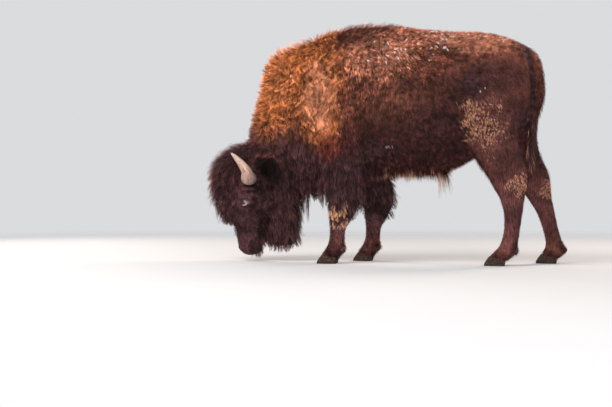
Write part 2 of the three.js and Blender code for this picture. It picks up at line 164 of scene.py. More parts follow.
COAT = {
    "back": (
        ((-120, 20, 1665), 150, (0.7, 0.3, -0.1), 74, 3.4, 0.6, 0.6, 26, 6, 1, 14, 26),
        ((-60, 200, 1480), 150, (0.45, 0.2, -0.8), 52, 3.6, 0.6, 0.6, 20, 5, 0.4, 4, 8),
        ((-150, 270, 1250), 150, (0.25, 0, -1), 60, 3.6, 0.6, 0.65, 22, 5, 0.3, 0, 6),
        ((200, 80, 1625), 160, (0.9, 0.3, -0.2), 44, 3.4, 0.6, 0.6, 17, 5, 0.6, 6, 12),
        ((250, 240, 1400), 190, (0.5, 0, -0.8), 44, 3.4, 0.6, 0.6, 17, 5, 0.4, 4, 6),
    ),
    "flank": (
        ((120, 300, 1080), 190, (0.22, 0, -1), 56, 3.2, 0.3, 0.7, 19, 5, 0.3, 0, 6),
        ((430, 290, 1100), 170, (0.4, 0, -0.9), 46, 3.2, 0.3, 0.6, 17, 5, 0.3, 0, 6),
        ((120, 270, 780), 170, (0.5, 0, -0.75), 50, 3.2, 0.3, 0.5, 18, 5, 0.3, 0, 6),
        ((420, 260, 800), 150, (0.7, 0, -0.6), 44, 3.2, 0.3, 0.5, 17, 5, 0.3, 0, 6),
        ((150, 40, 600), 190, (0.2, 0.05, -1), 64, 2.6, 0.3, 0.75, 18, 7, 0.8, 0, 80),
        ((540, 60, 690), 130, (0.6, 0.1, -0.8), 44, 3, 0.3, 0.6, 15, 5, 0.5, 4, 16),
        ((405, 0, 575), 75, (0.05, 0, -1), 150, 1.8, 0.1, 0.95, 16, 9, 0.4, 0, 110),
    ),
    "rump": (
        ((520, 90, 1590), 150, (1, 0.25, -0.15), 34, 3.2, 0, 0.6, 13, 5, 0.5, 6, 12),
        ((760, 110, 1530), 130, (1, 0.25, -0.2), 30, 3.2, 0, 0.6, 10, 5, 0.5, 6, 12),
        ((560, 260, 1330), 150, (0.5, 0, -0.8), 34, 3.2, 0, 0.5, 13, 5, 0.5, 4, 6),
        ((820, 220, 1280), 140, (0.5, 0, -0.8), 28, 3, 0, 0.5, 10, 5, 0.4, 4, 6),
        ((950, 120, 1200), 120, (0.15, 0.1, -1), 28, 3, 0, 0.5, 9, 5, 0.4, 6, 9),
        ((700, 250, 1000), 120, (0.25, 0, -1), 25, 3.2, 0, 0.85, 12, 5.5, 0.9, 10, 8),
    ),
    "hindleg": (
        ((870, 200, 900), 110, (0.15, 0, -1), 26, 3, 0, 0.4, 9, 4.6, 0.3, 2, 7),
        ((640, 190, 800), 90, (0.35, 0, -1), 28, 3, 0, 0.4, 10, 4.6, 0.3, 2, 9),
        ((800, 190, 700), 100, (0.1, 0, -1), 24, 2.8, 0, 0.4, 8, 4.2, 0.3, 2, 6),
        ((900, 190, 590), 60, (0.05, 0, -1), 24, 2.8, 0, 0.85, 8, 5, 0.9, 10, 8),
        ((850, 170, 470), 90, (0.05, 0, -1), 20, 2.4, 0, 0.3, 5, 3.6, 0.3, 3, 5),
        ((860, 165, 300), 100, (0.05, 0, -1), 18, 2.2, 0, 0.3, 4, 3.2, 0.3, 4, 5),
        ((800, 165, 130), 45, (0, 0, -1), 22, 2.2, 0, 0.4, 3, 4, 0.4, 6, 5),
        ((890, 165, 110), 40, (0.3, 0.1, -0.9), 38, 2.4, 0, 0.6, 2, 7, 0.6, 16, 16),
        ((770, 165, 62), 40, (-0.3, 0.25, -1), 40, 2.4, 0, 0.5, 2, 8, 0.4, 10, 16),
    ),
    "cape": (
        ((-420, 60, 1615), 110, (0.1, 0.5, 0.1), 78, 3.4, 0.8, 0.65, 34, 6, 1, 10, 24),
        ((-400, 200, 1500), 110, (0.05, 0.2, -1), 84, 3.6, 1.1, 0.8, 34, 6, 0.5, 0, 10),
        ((-400, 255, 1280), 120, (0.06, 0, -1), 104, 3.6, 1.4, 0.88, 38, 7, 0.5, 0, 8),
        ((-400, 262, 1040), 110, (0.04, 0, -1), 108, 3.6, 1.4, 0.88, 36, 7, 0.5, 0, 8),
        ((-290, 265, 880), 90, (0.1, 0, -1), 76, 3.4, 0.8, 0.7, 26, 5, 0.4, 0, 8),
    ),
    "mane": (
        ((-600, 40, 1580), 90, (-0.3, 0.3, 0.1), 78, 3.4, 0.8, 0.65, 34, 6, 1, 10, 26),
        ((-780, 40, 1500), 110, (-0.6, 0.3, 0.35), 84, 3.4, 0.8, 0.65, 36, 6, 1, 10, 28),
        ((-620, 190, 1440), 110, (-0.25, 0.1, -0.9), 70, 3.4, 1.2, 0.75, 34, 6, 0.6, 0, 8),
        ((-890, 40, 1200), 110, (-0.9, 0.3, -0.1), 78, 3.4, 1, 0.7, 36, 6, 1, 8, 24),
        ((-700, 210, 1180), 110, (-0.3, 0, -0.9), 70, 3.6, 1.3, 0.85, 34, 6, 0.6, 0, 8),
        ((-860, 150, 990), 80, (-0.65, 0, -0.4), 62, 3.6, 1.3, 0.9, 32, 6, 0.8, 4, 14),
        ((-740, 195, 960), 80, (0.55, 0, -0.8), 72, 3.8, 1.3, 0.9, 32, 6, 0.6, 0, 8),
        ((-620, 215, 950), 80, (0.1, 0, -1), 84, 3.8, 1.1, 0.85, 32, 6, 0.5, 0, 8),
        ((-600, 200, 760), 110, (0.12, 0, -1), 96, 3.6, 0.8, 0.75, 32, 6, 0.4, 0, 10),
    ),
    "beard": (
        ((-620, 110, 560), 100, (0.1, 0, -1), 115, 3.4, 0.6, 0.8, 36, 7, 0.5, 0, 30),
        ((-520, 50, 480), 90, (0.05, 0, -1), 145, 3, 0.5, 0.9, 32, 7, 0.5, 0, 95),
        ((-720, 80, 330), 90, (0.1, 0, -1), 130, 3.2, 0.6, 0.85, 34, 7, 0.5, 0, 20),
        ((-735, 50, 160), 90, (0.08, 0, -1), 140, 3, 0.5, 0.92, 28, 7, 0.5, 0, 50),
    ),
    "bonnet": (
        ((-970, 20, 850), 80, (-0.9, 0.3, 0.05), 84, 2.8, 0.9, 0.6, 38, 7, 0.9, 4, 22),
        ((-1130, 60, 800), 90, (-0.8, 0.3, -0.35), 92, 2.8, 0.9, 0.6, 42, 7, 0.8, 4, 24),
        ((-1250, 60, 720), 90, (-0.5, 0.2, -0.9), 96, 2.8, 0.9, 0.7, 44, 7, 0.7, 4, 26),
        ((-1290, 40, 570), 90, (-0.1, 0.15, -1), 100, 2.8, 0.8, 0.75, 44, 7, 0.6, 4, 28),
        ((-1180, 140, 620), 80, (-0.1, 0.1, -1), 96, 2.8, 0.8, 0.75, 42, 7, 0.5, 0, 12),
        ((-1240, 40, 380), 80, (0.05, 0.1, -1), 110, 2.8, 0.8, 0.85, 34, 7, 0.6, 0, 50),
        ((-1150, 95, 430), 55, (0, 0.1, -1), 84, 2.8, 0.8, 0.8, 30, 7, 0.5, 0, 20),
        ((-960, 140, 760), 70, (-0.1, 0.4, -0.9), 70, 2.8, 0.9, 0.6, 32, 6, 0.6, 0, 10),
        ((-1120, 40, 300), 50, (0.05, 0.1, -1), 80, 2.6, 0.6, 0.7, 12, 6, 0.6, 8, 45),
    ),
    "face": (
        ((-1095, 20, 240), 60, (0.15, 0.1, -1), 46, 2.2, 0.3, 0.5, 6, 5, 0.5, 12, 32),
        ((-1050, 75, 330), 60, (0.1, 0, -1), 22, 2, 0.2, 0.3, 5, 4, 0.2, 2, 6),
        ((-1030, 60, 170), 55, (0.15, 0, -1), 18, 1.9, 0.1, 0.3, 4, 3.4, 0.3, 6, 9),
        ((-1030, 40, 70), 50, (0.3, 0, -0.9), 9, 1.6, 0, 0, 3, 1.6, 0.15, 2, 4),
        ((-984, 128, 416), 42, (0.5, 0, -0.8), 12, 1.8, 0.1, 0.2, 4, 3, 0.15, 0, 4),
        ((-975, 130, 500), 42, (0.6, 0, -0.7), 18, 2, 0.2, 0.3, 6, 3.6, 0.2, 0, 5),
        ((-930, 100, 250), 60, (0.35, 0, -1), 32, 2.4, 0.3, 0.5, 9, 5, 0.4, 4, 9),
        ((-905, 50, 95), 50, (0.25, 0, -1), 90, 2.4, 0.4, 0.6, 10, 7, 0.6, 8, 40),
        ((-875, 112, 410), 65, (0.55, 0, -0.8), 46, 2.8, 0.4, 0.6, 15, 6, 0.5, 2, 8),
        ((-850, 90, 260), 60, (0.4, 0, -1), 58, 2.8, 0.4, 0.6, 18, 6, 0.5, 2, 12),
        ((-880, 150, 580), 60, (0.6, 0.1, -0.75), 50, 2.8, 0.5, 0.6, 20, 6, 0.5, 0, 8),
        ((-800, 140, 480), 60, (0.35, 0, -0.95), 60, 3, 0.4, 0.6, 24, 6, 0.5, 0, 8),
    ),
    "ear": (
        ((-835, 225, 712), 60, (0.4, 0.9, -0.3), 46, 2.4, 0.3, 0.5, 8, 9, 0.8, 12, 22),
    ),
    "tail": (
        ((985, 20, 1400), 70, (0.4, 0.2, -1), 30, 2.8, 0.2, 0.4, 8, 5, 0.4, 6, 10),
        ((1025, 15, 1180), 90, (0.05, 0.1, -1), 38, 2.8, 0.2, 0.5, 9, 5, 0.5, 6, 12),
        ((1000, 12, 980), 70, (0, 0.05, -1), 64, 3, 0.3, 0.6, 11, 7, 0.5, 2, 14),
        ((978, 8, 780), 110, (0.05, 0.03, -1), 150, 2.8, 0.4, 0.8, 13, 12, 0.5, 0, 30),
    ),
    "foreleg": (
        ((-275, 215, 720), 80, (0.1, 0, -1), 84, 3.6, 0.7, 0.65, 26, 6, 0.4, 0, 10),
        ((-270, 190, 590), 80, (0.04, 0, -1), 104, 3.4, 0.7, 0.8, 30, 7, 0.5, 0, 12),
        ((-250, 180, 450), 70, (0.25, 0, -1), 120, 3, 0.6, 0.9, 30, 7, 0.8, 2, 50),
        ((-340, 172, 400), 50, (0, 0, -1), 64, 3, 0.4, 0.75, 18, 6, 0.5, 0, 16),
        ((-300, 172, 300), 50, (0, 0, -1), 24, 2.6, 0.4, 0.6, 6, 5, 0.6, 6, 8),
        ((-310, 172, 190), 60, (0, 0, -1), 18, 2.2, 0.1, 0.3, 4, 3.4, 0.3, 4, 5),
        ((-350, 172, 120), 40, (0, 0, -1), 22, 2.2, 0.1, 0.4, 3, 4, 0.4, 6, 5),
        ((-268, 172, 110), 35, (0.3, 0.1, -0.9), 38, 2.4, 0.2, 0.6, 2, 7, 0.6, 16, 16),
        ((-375, 172, 60), 40, (-0.3, 0.25, -1), 40, 2.4, 0.1, 0.5, 2, 8, 0.4, 10, 16),
    ),
}
PATCHES = tuple(Patch(piece, *row) for piece, rows in COAT.items() for row in rows)


class Blot(NamedTuple):
    """One soft-edged marking, an ellipsoid in millimetres on the drawing."""

    mark: str
    at: tuple
    radii: tuple
    amount: float = 1.0


MARKINGS = {
    "gold": (
        ((-700, 100, 1360), (330, 400, 420)),
        ((-840, 60, 1080), (240, 300, 300)),
        ((-470, 200, 1300), (225, 330, 420), 0.9),
        ((-520, 0, 1600), (260, 240, 140), 0.8),
        ((-430, 230, 1020), (165, 240, 260), 0.85),
        ((-150, 40, 1680), (330, 160, 60), 0.55),
    ),
    "pale": (
        ((-440, 250, 1230), (155, 220, 380)),
        ((-700, 200, 1300), (160, 200, 240), 0.35),
    ),
    "rust": (
        ((-370, 250, 800), (130, 150, 150), 0.65),
        ((-880, 40, 960), (180, 250, 190), 0.35),
    ),
    "dun": (
        ((-30, 200, 1430), (300, 320, 200), 1),
        ((300, 120, 1560), (360, 280, 120), 0.85),
        ((620, 100, 1530), (340, 280, 130), 1.05),
    ),
    "umber": (
        ((-60, 300, 640), (900, 600, 420), 1),
        ((430, 320, 800), (420, 500, 380), 1),
        ((760, 300, 1240), (300, 300, 170), 0.9),
        # Painted shade in the hollow of the flank behind the ribs.
        ((560, 320, 1050), (260, 300, 330), 0.8),
        ((850, 250, 850), (330, 400, 360), 1),
        ((860, 200, 400), (330, 400, 420), 1),
        ((-330, 200, 200), (330, 400, 330), 1),
        ((-170, 60, 1570), (190, 300, 110), 0.35),
        ((-560, 240, 1060), (80, 150, 240), 0.6),
        ((1000, 0, 1000), (120, 110, 330), 0.6),
    ),
    "black": (
        ((-1030, 0, 480), (500, 420, 560)),
        ((-740, 0, 440), (420, 500, 560), 0.9),
        ((-560, 0, 600), (290, 500, 340), 1),
        ((-260, 150, 500), (300, 330, 330), 0.85),
        ((1000, 0, 740), (120, 120, 300), 0.6),
        # Painted shade: dark bands along the groove between the tail and the buttocks.
        ((950, 60, 1390), (30, 70, 130), 1.3),
        ((980, 60, 1180), (32, 70, 200), 1.5),
        ((925, 60, 960), (45, 70, 200), 1.4),
        # Painted shade: in the hollow between hip and ribs, along the fold of the flank and in the gap
        # behind the elbow.
        ((585, 300, 1215), (75, 160, 160), 0.5),
        ((800, 300, 1120), (150, 160, 60), 0.3),
        ((-60, 230, 700), (80, 90, 190), 0.8),
    ),
    "pitch": (
        # Painted shade: near-black in the hollow behind the horn and under the ear, and in thin bands
        # along the folds above and below the eye.
        ((-805, 200, 640), (135, 150, 115), 0.95),
        ((-930, 150, 536), (100, 90, 15), 0.9),
        ((-945, 150, 497), (85, 90, 12), 0.8),
        ((-940, 120, 395), (60, 90, 14), 0.6),
    ),
    "russet": (
        ((-330, 170, 90), (160, 140, 200), 0.25),
        # Painted rim light: these lighter red-brown bands along the top and front edge of the bonnet and
        # on the ear rims behind the horns stand in for light from behind.
        ((-1130, 0, 880), (330, 170, 90), 0.9),
        ((-1300, 0, 640), (110, 170, 260), 1),
        ((-925, 200, 757), (70, 110, 22), 1.5),
        ((-800, 240, 748), (75, 110, 24), 1.5),
    ),
    "straw": (
        ((600, 300, 950), (120, 160, 230), 1.1),
        ((700, 300, 915), (150, 160, 240), 0.85),
        ((912, 200, 520), (85, 90, 105), 1.9),
        ((-308, 215, 320), (85, 70, 105), 1.5),
        ((190, 40, 600), (380, 150, 46), 0.95),
        ((405, 0, 605), (80, 100, 90), 1.5),
        ((942, 0, 805), (30, 60, 105), 2.6),
    ),
    "snow": (
        ((130, 200, 1480), (300, 200, 130), 0.6),
        ((420, 150, 1530), (200, 240, 100), 0.8),
        ((740, 120, 1530), (170, 220, 60), 0.6),
        ((30, 300, 800), (60, 110, 40), 1),
        ((700, 300, 1150), (60, 110, 40), 0.9),
    ),
    "nose": (
        ((-1058, 0, 82), (48, 82, 60)),
    ),
    "lip": (
        ((-975, 0, 45), (75, 80, 34), 0.7),
    ),
}
BLOTS = tuple(Blot(mark, *row) for mark, rows in MARKINGS.items() for row in rows)
BLOT_EDGE = (0.35, 1.3)  # a marking fades out between these shares of its radii
PATCH_ACROSS = 0.75  # how much a distance from the midline counts between patches
PATCH_FALL = 6  # how sharply one patch of coat gives way to the next

STRAW_SHARE = 0.85  # how readily locks turn to straw inside its marks
STRAW_STRAY = 0.09  # how far the edges of those marks wander, in metres
FROST_SHARE = 0.17  # the share of clumps with frosted tips inside its marks
SHAGGY = (22, 34)  # hair turns from sleek to shaggy between these lengths, in millimetres
LONG = (55, 85)  # and from shaggy to a long fleece between these


# ---------------------------------------------------------------- sizes and colours


def colour(name, description, rgb):
    """A colour that a user may change."""
    return FloatVectorProperty(
        name=name, description=description, default=rgb, subtype="COLOR", min=0, max=1
    )


def length(name, description, metres, low=0.0, high=1.0):
    """A length that a user may change."""
    return FloatProperty(
        name=name, description=description, default=metres, min=low, max=high,
        unit="LENGTH", subtype="DISTANCE", precision=4,
    )


class BisonColours(bpy.types.PropertyGroup):
    """The colours of the coat and of the bare parts."""

    brown: colour("Back", "Hair of the back and ribs", (0.25, 0.082, 0.052))
    dun: colour("Top of the back", "Lighter hair on top of the back and croup", (0.57, 0.215, 0.128))
    gold: colour("Cape", "Golden hair of the cape and neck", (0.62, 0.2, 0.066))
    pale: colour("Shoulder locks", "The palest locks of the cape", (0.64, 0.255, 0.135))
    # Besides the hair's own colour, this is laid as painted shade in the flank hollow behind the ribs.
    umber: colour("Lower sides", "Dark hair of belly, flank and thigh", (0.095, 0.0315, 0.028))
    # Besides the hair's own colour, this is laid as painted shade in the tail groove, the hip hollow,
    # the flank fold and behind the elbow.
    black: colour("Head and chaps", "Hair of head, beard and foreleg chaps", (0.088, 0.036, 0.038))
    # Painted shade, not a hair colour: laid in the hollows behind the horns and in the folds round the
    # eyes.
    pitch: colour("Hollows", "Hair in the deep hollows behind the horns", (0.018, 0.009, 0.01))
    rust: colour("Rust", "Red-brown patch under the cape", (0.27, 0.058, 0.034))
    # On the shanks this is the hair's own colour; on the bonnet rim and the ear rims it is painted rim
    # light.
    russet: colour("Shanks", "Red-brown hair of shanks and bonnet rim", (0.235, 0.08, 0.07))
    straw: colour("Straw", "Sun-bleached curls on thigh, hock, knee, belly and tail", (1.0, 0.51, 0.3))
    snow: colour("Frost", "Frosted tips on the back", (1.0, 0.96, 0.95))
    nose: colour("Nose", "Bare skin of the nose", (0.02, 0.017, 0.018))
    lid: colour("Eyelid", "Bare edge of the lower lid", (0.3, 0.16, 0.155))
    iris: colour("Iris", "Iris of both eyes", (0.02, 0.0085, 0.0055))
    horn: colour("Horn", "Middle of the horn", (0.46, 0.295, 0.235))
    horn_base: colour("Horn base", "Horn where it leaves the head", (0.38, 0.24, 0.19))
    horn_tip: colour("Horn tip", "Tip of the horn", (0.5, 0.365, 0.305))
    claw: colour("Claws", "Claws of the hooves", (0.03, 0.017, 0.0135))


class BisonSizes(bpy.types.PropertyGroup):
    """The sizes that decide how fine the skin and coat are."""

    rough_skin: length("First voxel", "Voxel that joins the flesh", 0.011, 0.005, 0.03)
    fine_skin: length("Skin voxel", "Voxel of the finished skin", 0.0115, 0.005, 0.03)
    triangles: IntProperty(
        name="Coat triangles", description="Triangles of the whole coat",
        default=1_440_000, min=10_000, max=1_500_000,
    )
    seed: IntProperty(name="Seed", description="Seed of the coat's chance", default=11, min=0)
    iris: length("Iris radius", "Radius of the iris", 0.0138, 0.005, 0.02)
    lid: length("Lid", "Thickness of an eyelid's edge", 0.0042, 0.001, 0.01)


def power(name, description, watts):
    """The power of a lamp, which a user may change."""
    return FloatProperty(name=name, description=description, default=watts, min=0, unit="POWER")


class BisonStage(bpy.types.PropertyGroup):
    """The floor, the lights and the camera."""

    floor: colour("Floor", "Colour of the floor", (0.45, 0.45, 0.46))
    sky: colour("Surroundings", "Colour of the surroundings", (0.86, 0.87, 0.89))
    sky_strength: FloatProperty(
        name="Surroundings strength", description="Strength of the surroundings", default=0.82, min=0
    )
    key: power("Key", "Power of the key light", 445)
    fill: power("Fill", "Power of the fill light", 300)
    rim: power("Rim", "Power of the warm light behind", 205)
    halo: power("Halo", "Power of the light behind the head", 150)
    lens: FloatProperty(
        name="Lens", description="Focal length", default=54.94, min=1, unit="CAMERA"
    )


# ---------------------------------------------------------------- finishes


class Value:
    """A socket of a material's nodes that can be reckoned with."""

    def __init__(self, finish, socket):
        self.finish, self.socket = finish, socket

    def math(self, operation, *others):
        """A Math node on this and other values."""
        values = {0: self, **{i + 1: other for i, other in enumerate(others)}}
        return self.finish.node("ShaderNodeMath", {"operation": operation}, values)

    def __add__(self, other):
        return self.math("ADD", other)

    __radd__ = __add__

    def __sub__(self, other):
        return self.math("SUBTRACT", other)

    def __rsub__(self, other):
        return self.finish.node("ShaderNodeMath", {"operation": "SUBTRACT"}, {0: other, 1: self})

    def __mul__(self, other):
        return self.math("MULTIPLY", other)

    __rmul__ = __mul__

    def __pow__(self, other):
        return self.math("POWER", other)

    def most(self, other):
        """The larger of this and another."""
        return self.math("MAXIMUM", other)

    def step(self, low, high):
        """0 below low and 1 above high, eased between them."""
        return self.finish.node(
            "ShaderNodeMapRange", {"interpolation_type": "SMOOTHSTEP", "clamp": True},
            {"Value": self, "From Min": low, "From Max": high},
        )

    def mix(self, off, on):
        """The colour off where this is 0, and on where it is 1."""
        return self.finish.node(
            "ShaderNodeMix", {"data_type": "RGBA", "clamp_factor": True},
            {0: self, 6: off, 7: on}, out=2,
        )

    def scaled(self, amount):
        """This colour or vector times a number."""
        return self.finish.node(
            "ShaderNodeVectorMath", {"operation": "SCALE"}, {0: self, "Scale": amount}
        )

    def length(self):
        """How long this vector is."""
        return self.finish.node(
            "ShaderNodeVectorMath", {"operation": "LENGTH"}, {0: self}, out="Value"
        )

    def times(self, other):
        """This vector times another, part by part."""
        return self.finish.node(
            "ShaderNodeVectorMath", {"operation": "MULTIPLY"}, {0: self, 1: other}
        )


class Finish:
    """A material while its nodes are written down."""

    def __init__(self, name):
        self.material = bpy.data.materials.new(name)
        self.material.use_nodes = True
        self.tree = self.material.node_tree
        self.tree.nodes.clear()

    def node(self, kind, settings=None, values=None, out=0):
        """Adds a node, sets it, fills its sockets with numbers, colours or Values: gives its output."""
        made = self.tree.nodes.new(kind)
        for key, setting in (settings or {}).items():
            setattr(made, key, setting)
        for key, value in (values or {}).items():
            socket = made.inputs[key]
            if isinstance(value, Value):
                self.tree.links.new(value.socket, socket)
            elif isinstance(value, (int, float)):
                socket.default_value = value
            else:
                value = tuple(value)
                socket.default_value = value + (1,) * (socket.type == "RGBA" and len(value) == 3)
        return Value(self, made.outputs[out])

    def field(self, name):
        """A number that the mesh carries on its vertices."""
        return self.node("ShaderNodeAttribute", {"attribute_name": name}, out="Fac")

    def place(self):
        """Where a point of the surface lies, in metres."""
        return self.node("ShaderNodeTexCoord", out="Object")

    def noise(self, scale, detail=2.0, at=None, roughness=0.5):
        """Soft chance between 0 and 1, with that many spots to a metre."""
        return self.node(
            "ShaderNodeTexNoise", {},
            {"Vector": at or self.place(), "Scale": scale, "Detail": detail, "Roughness": roughness},
        )

    def bump(self, height, strength, distance):
        """Fine relief, for the shader's Normal."""
        return self.node(
            "ShaderNodeBump", {}, {"Strength": strength, "Distance": distance, "Height": height}
        )

    def surface(self, values):
        """Ends the material with its shader."""
        shader = self.node("ShaderNodeBsdfPrincipled", {}, values)
        output = self.tree.nodes.new("ShaderNodeOutputMaterial")
        self.tree.links.new(shader.socket, output.inputs["Surface"])
        return self.material


# The colours of the hair in the order that they are laid on, and the strengths between which each
# one comes in. Some of them also lay painted shade in hollows and folds, and painted rim light on the
# bonnet.
LAID_ON = (
    ("dun", 0.05, 0.95), ("umber", 0.05, 0.95), ("gold", 0.0, 0.95), ("pale", 0.15, 0.95),
    ("rust", 0.05, 0.95), ("black", 0.1, 0.7), ("pitch", 0.1, 0.95), ("russet", 0.1, 1.1),
)
LIE_GRAIN = (150, 150, 22)  # streaks a metre across and along hanging hair


def coat_colour(finish, colours):
    """The markings of skin and coat, from the fields that both carry."""
    cloudy, mottled = finish.noise(8, 3), finish.noise(30, 3)
    tuft, tip = finish.field("tone"), finish.field("tip")
    shag, fleece = finish.field("shag"), finish.field("fleece")

    # Each marking has a ragged edge and thins out where it is weak.
    ragged = (mottled - 0.5) * 0.8 + (cloudy - 0.5) * 0.8 + tuft * 0.2
    hair = colours.brown
    for mark, low, high in LAID_ON:
        field = finish.field(mark)
        laid = (field + ragged * field.step(0.0, 0.3)).step(low, high)
        hair = laid.mix(hair, getattr(colours, mark))

    # Sleek hair is streaked and shaggy hair is spotted. Both lie under soft clouds of light and
    # dark and differ from lock to lock. Each lock is darkened towards its root: painted shade for
    # the shadow deep in the coat.
    streaks = finish.noise(1, 2, at=finish.place().times(LIE_GRAIN)).step(0.3, 0.7)
    spots = mottled.step(0.3, 0.7)
    shaggy = shag * (1 - fleece * 0.55) * (spots * 1.3 - 0.65)
    sleek = (1 - shag) * (streaks * 0.95 + spots * 0.35 - 0.65)
    clouds = (1 - fleece * 0.5) * (1.2 - shag * 0.2) * (cloudy.step(0.28, 0.72) * 0.76 - 0.38)
    own = tuft * (1.15 - shag * 0.4 + fleece * 0.25)
    # The factor 0.15 + tip * 1.15 is painted shade, dark at the root and bright at the tip.
    hair = hair.scaled((0.15 + tip * 1.15) * (1 + own) * (1 + clouds) * (1 + (shaggy + sleek)))

    hair = (finish.field("straw_lock") * (0.4 + tip * 0.6)).mix(hair, colours.straw)
    return (finish.field("snow_lock") * tip.step(0.3, 0.6)).mix(hair, colours.snow)


def coat_finish(colours):
    """Hair, with a fine grain along each lock."""
    finish = Finish("coat_hair")
    grain = finish.noise(420, 2)
    return finish.surface({
        "Base Color": coat_colour(finish, colours),
        "Roughness": 0.7,
        "Specular IOR Level": 0.08,
        "Normal": finish.bump(grain, 0.35, 0.002),
    })


def skin_finish(colours):
    """The skin with its short flat fur, the bare cobbled nose and the lips."""
    finish = Finish("skin")
    nap = finish.noise(1, 3, at=finish.place().times((330, 330, 75)), roughness=0.6)
    curls = finish.noise(95, 3)
    cobbles = finish.node(
        "ShaderNodeTexVoronoi", {"feature": "SMOOTH_F1"}, {"Vector": finish.place(), "Scale": 230.0}
    )
    nose = finish.field("nose").step(0.35, 0.6)
    bare = nose.most(finish.field("lip").step(0.4, 0.7))
    fur = coat_colour(finish, colours).scaled(0.75 + nap * 0.5)
    relief = (1 - nose) * (nap * 0.6 + curls * 0.4) + nose * (1 - cobbles) * 0.7
    return finish.surface({
        "Base Color": bare.mix(fur, colours.nose),
        "Roughness": 0.72 - bare * 0.34,
        "Specular IOR Level": 0.14,
        "Normal": finish.bump(relief, 0.7, 0.004),
    })


LID_DARK = (0.018, 0.012, 0.012)  # bare skin of the upper lid, and the lashes
PUPIL = (0.004, 0.005, 0.009)
IRIS_EDGE = (0.028, 0.018, 0.018)
# The grey-blue white of the eye is partly the sclera and partly a painted reflection of the sky.
SCLERA_AND_SKY_REFLECTION = (0.13, 0.14, 0.18)


def lid_finish(colours):
    """The wet edge of an eyelid, pink below and dark above."""
    finish = Finish("eyelid")
    wrinkle = finish.noise(500, 2)
    pink = finish.field("pink") * (0.6 + wrinkle * 0.8)
    return finish.surface({
        "Base Color": pink.mix(LID_DARK, colours.lid),
        "Roughness": 0.38,
        "Specular IOR Level": 0.5,
        "Normal": finish.bump(wrinkle, 0.3, 0.0012),
    })


def eye_finish(colours):
    """A dark brown eye with a level pupil and a wet surface."""
    finish = Finish("wet_eye")
    across, up = finish.field("across"), finish.field("up")  # both 1 at the edge of the iris
    from_middle = (across ** 2 + up ** 2) ** 0.5
    pupil = 1 - ((across * 0.55) ** 2 + up ** 2).step(0.07, 0.11)
    threads, rays = finish.noise(160, 3), finish.noise(26, 4)
    bright = tuple(c * 2.6 for c in colours.iris)
    iris = threads.mix(colours.iris, bright).scaled(0.6 + rays * 0.8)
    # Round the iris: the white of the eye, whose bluish tint is a painted reflection of the sky.
    sclera_and_sky = from_middle.step(1.0, 1.3).mix(IRIS_EDGE, SCLERA_AND_SKY_REFLECTION)
    seen = from_middle.step(0.93, 1.05).mix(iris, sclera_and_sky)
    return finish.surface({
        "Base Color": pupil.mix(seen, PUPIL),
        "Roughness": 0.16,
        "Specular IOR Level": 0.35,
        "Coat Weight": 0.65,
        "Coat Roughness": 0.06,
        "Coat IOR": 1.4,
    })


def horn_finish(colours):
    """Weathered horn with dark threads along it, scattered flecks and rings at its base."""
    finish = Finish("grained_horn")
    along, around = finish.field("along"), finish.field("around")
    drawn_out = finish.node(
        "ShaderNodeCombineXYZ", {}, {0: around * 34, 1: along * 6, 2: around * 9}
    )
    grain = finish.noise(1, 4, at=drawn_out, roughness=0.65)
    threads, flecks = grain.step(0.34, 0.66), finish.noise(85, 3).step(0.54, 0.66)
    rings = (along * 150 + grain * 3).math("SINE")
    base = 1 - along.step(0.1, 0.42)
    shaft = base.mix(colours.horn, colours.horn_base)
    shaft = along.step(0.62, 0.97).mix(shaft, colours.horn_tip)
    return finish.surface({
        "Base Color": shaft.scaled((0.4 + threads * 0.8) * (1 - flecks * 0.42)),
        "Roughness": 0.62 - along * 0.1,
        "Specular IOR Level": 0.25,
        "Normal": finish.bump(threads * 0.6 + rings * base * 0.35 - flecks * 0.3, 0.6, 0.0025),
    })


def claw_finish(colours):
    """Dull claw with growth lines level with the ground and pale scuffs."""
    finish = Finish("hoof_wall")
    lines = finish.noise(1, 3, at=finish.place().times((14, 14, 260)))
    scuffs = finish.noise(90, 4)
    scuffed = tuple(min(1, c * 2.4) for c in colours.claw)
    wall = scuffs.step(0.45, 0.75).mix(colours.claw, scuffed)
    return finish.surface({
        "Base Color": wall.scaled(0.65 + lines.step(0.35, 0.65) * 0.6),
        "Roughness": 0.72 + scuffs * 0.2,
        "Specular IOR Level": 0.1,
        "Normal": finish.bump(lines * 0.7 + scuffs * 0.4, 0.6, 0.003),
    })


# ---------------------------------------------------------------- meshes


def arrays(mesh):
    """A mesh's vertices, normals and triangles."""
    mesh.calc_loop_triangles()
    points = np.empty((len(mesh.vertices), 3), "f")
    normals = np.empty_like(points)
    mesh.vertices.foreach_get("co", points.ravel())
    mesh.vertices.foreach_get("normal", normals.ravel())
    faces = np.empty((len(mesh.loop_triangles), 3), "i")
    mesh.loop_triangles.foreach_get("vertices", faces.ravel())
    return points.astype(float), normals.astype(float), faces


def solid(node):
    """The points and triangles of a node of the frame."""
    points, _, faces = arrays(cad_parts[node].data)
    return points, faces


def mesh_of(name, points, faces, fields=None):
    """A mesh from arrays, with numbers on its vertices. All faces have as many corners."""
    mesh = bpy.data.meshes.new(name)
    points, faces = np.asarray(points, "f"), np.asarray(faces, "i")
    mesh.vertices.add(len(points))
    mesh.vertices.foreach_set("co", points.ravel())
    mesh.loops.add(faces.size)
    mesh.loops.foreach_set("vertex_index", faces.ravel())
    mesh.polygons.add(len(faces))
    mesh.polygons.foreach_set("loop_start", np.arange(0, faces.size, faces.shape[1], dtype="i"))
    mesh.update(calc_edges=True)
    for key, values in (fields or {}).items():
        mesh.attributes.new(key, "FLOAT", "POINT").data.foreach_set("value", np.asarray(values, "f"))
    return mesh


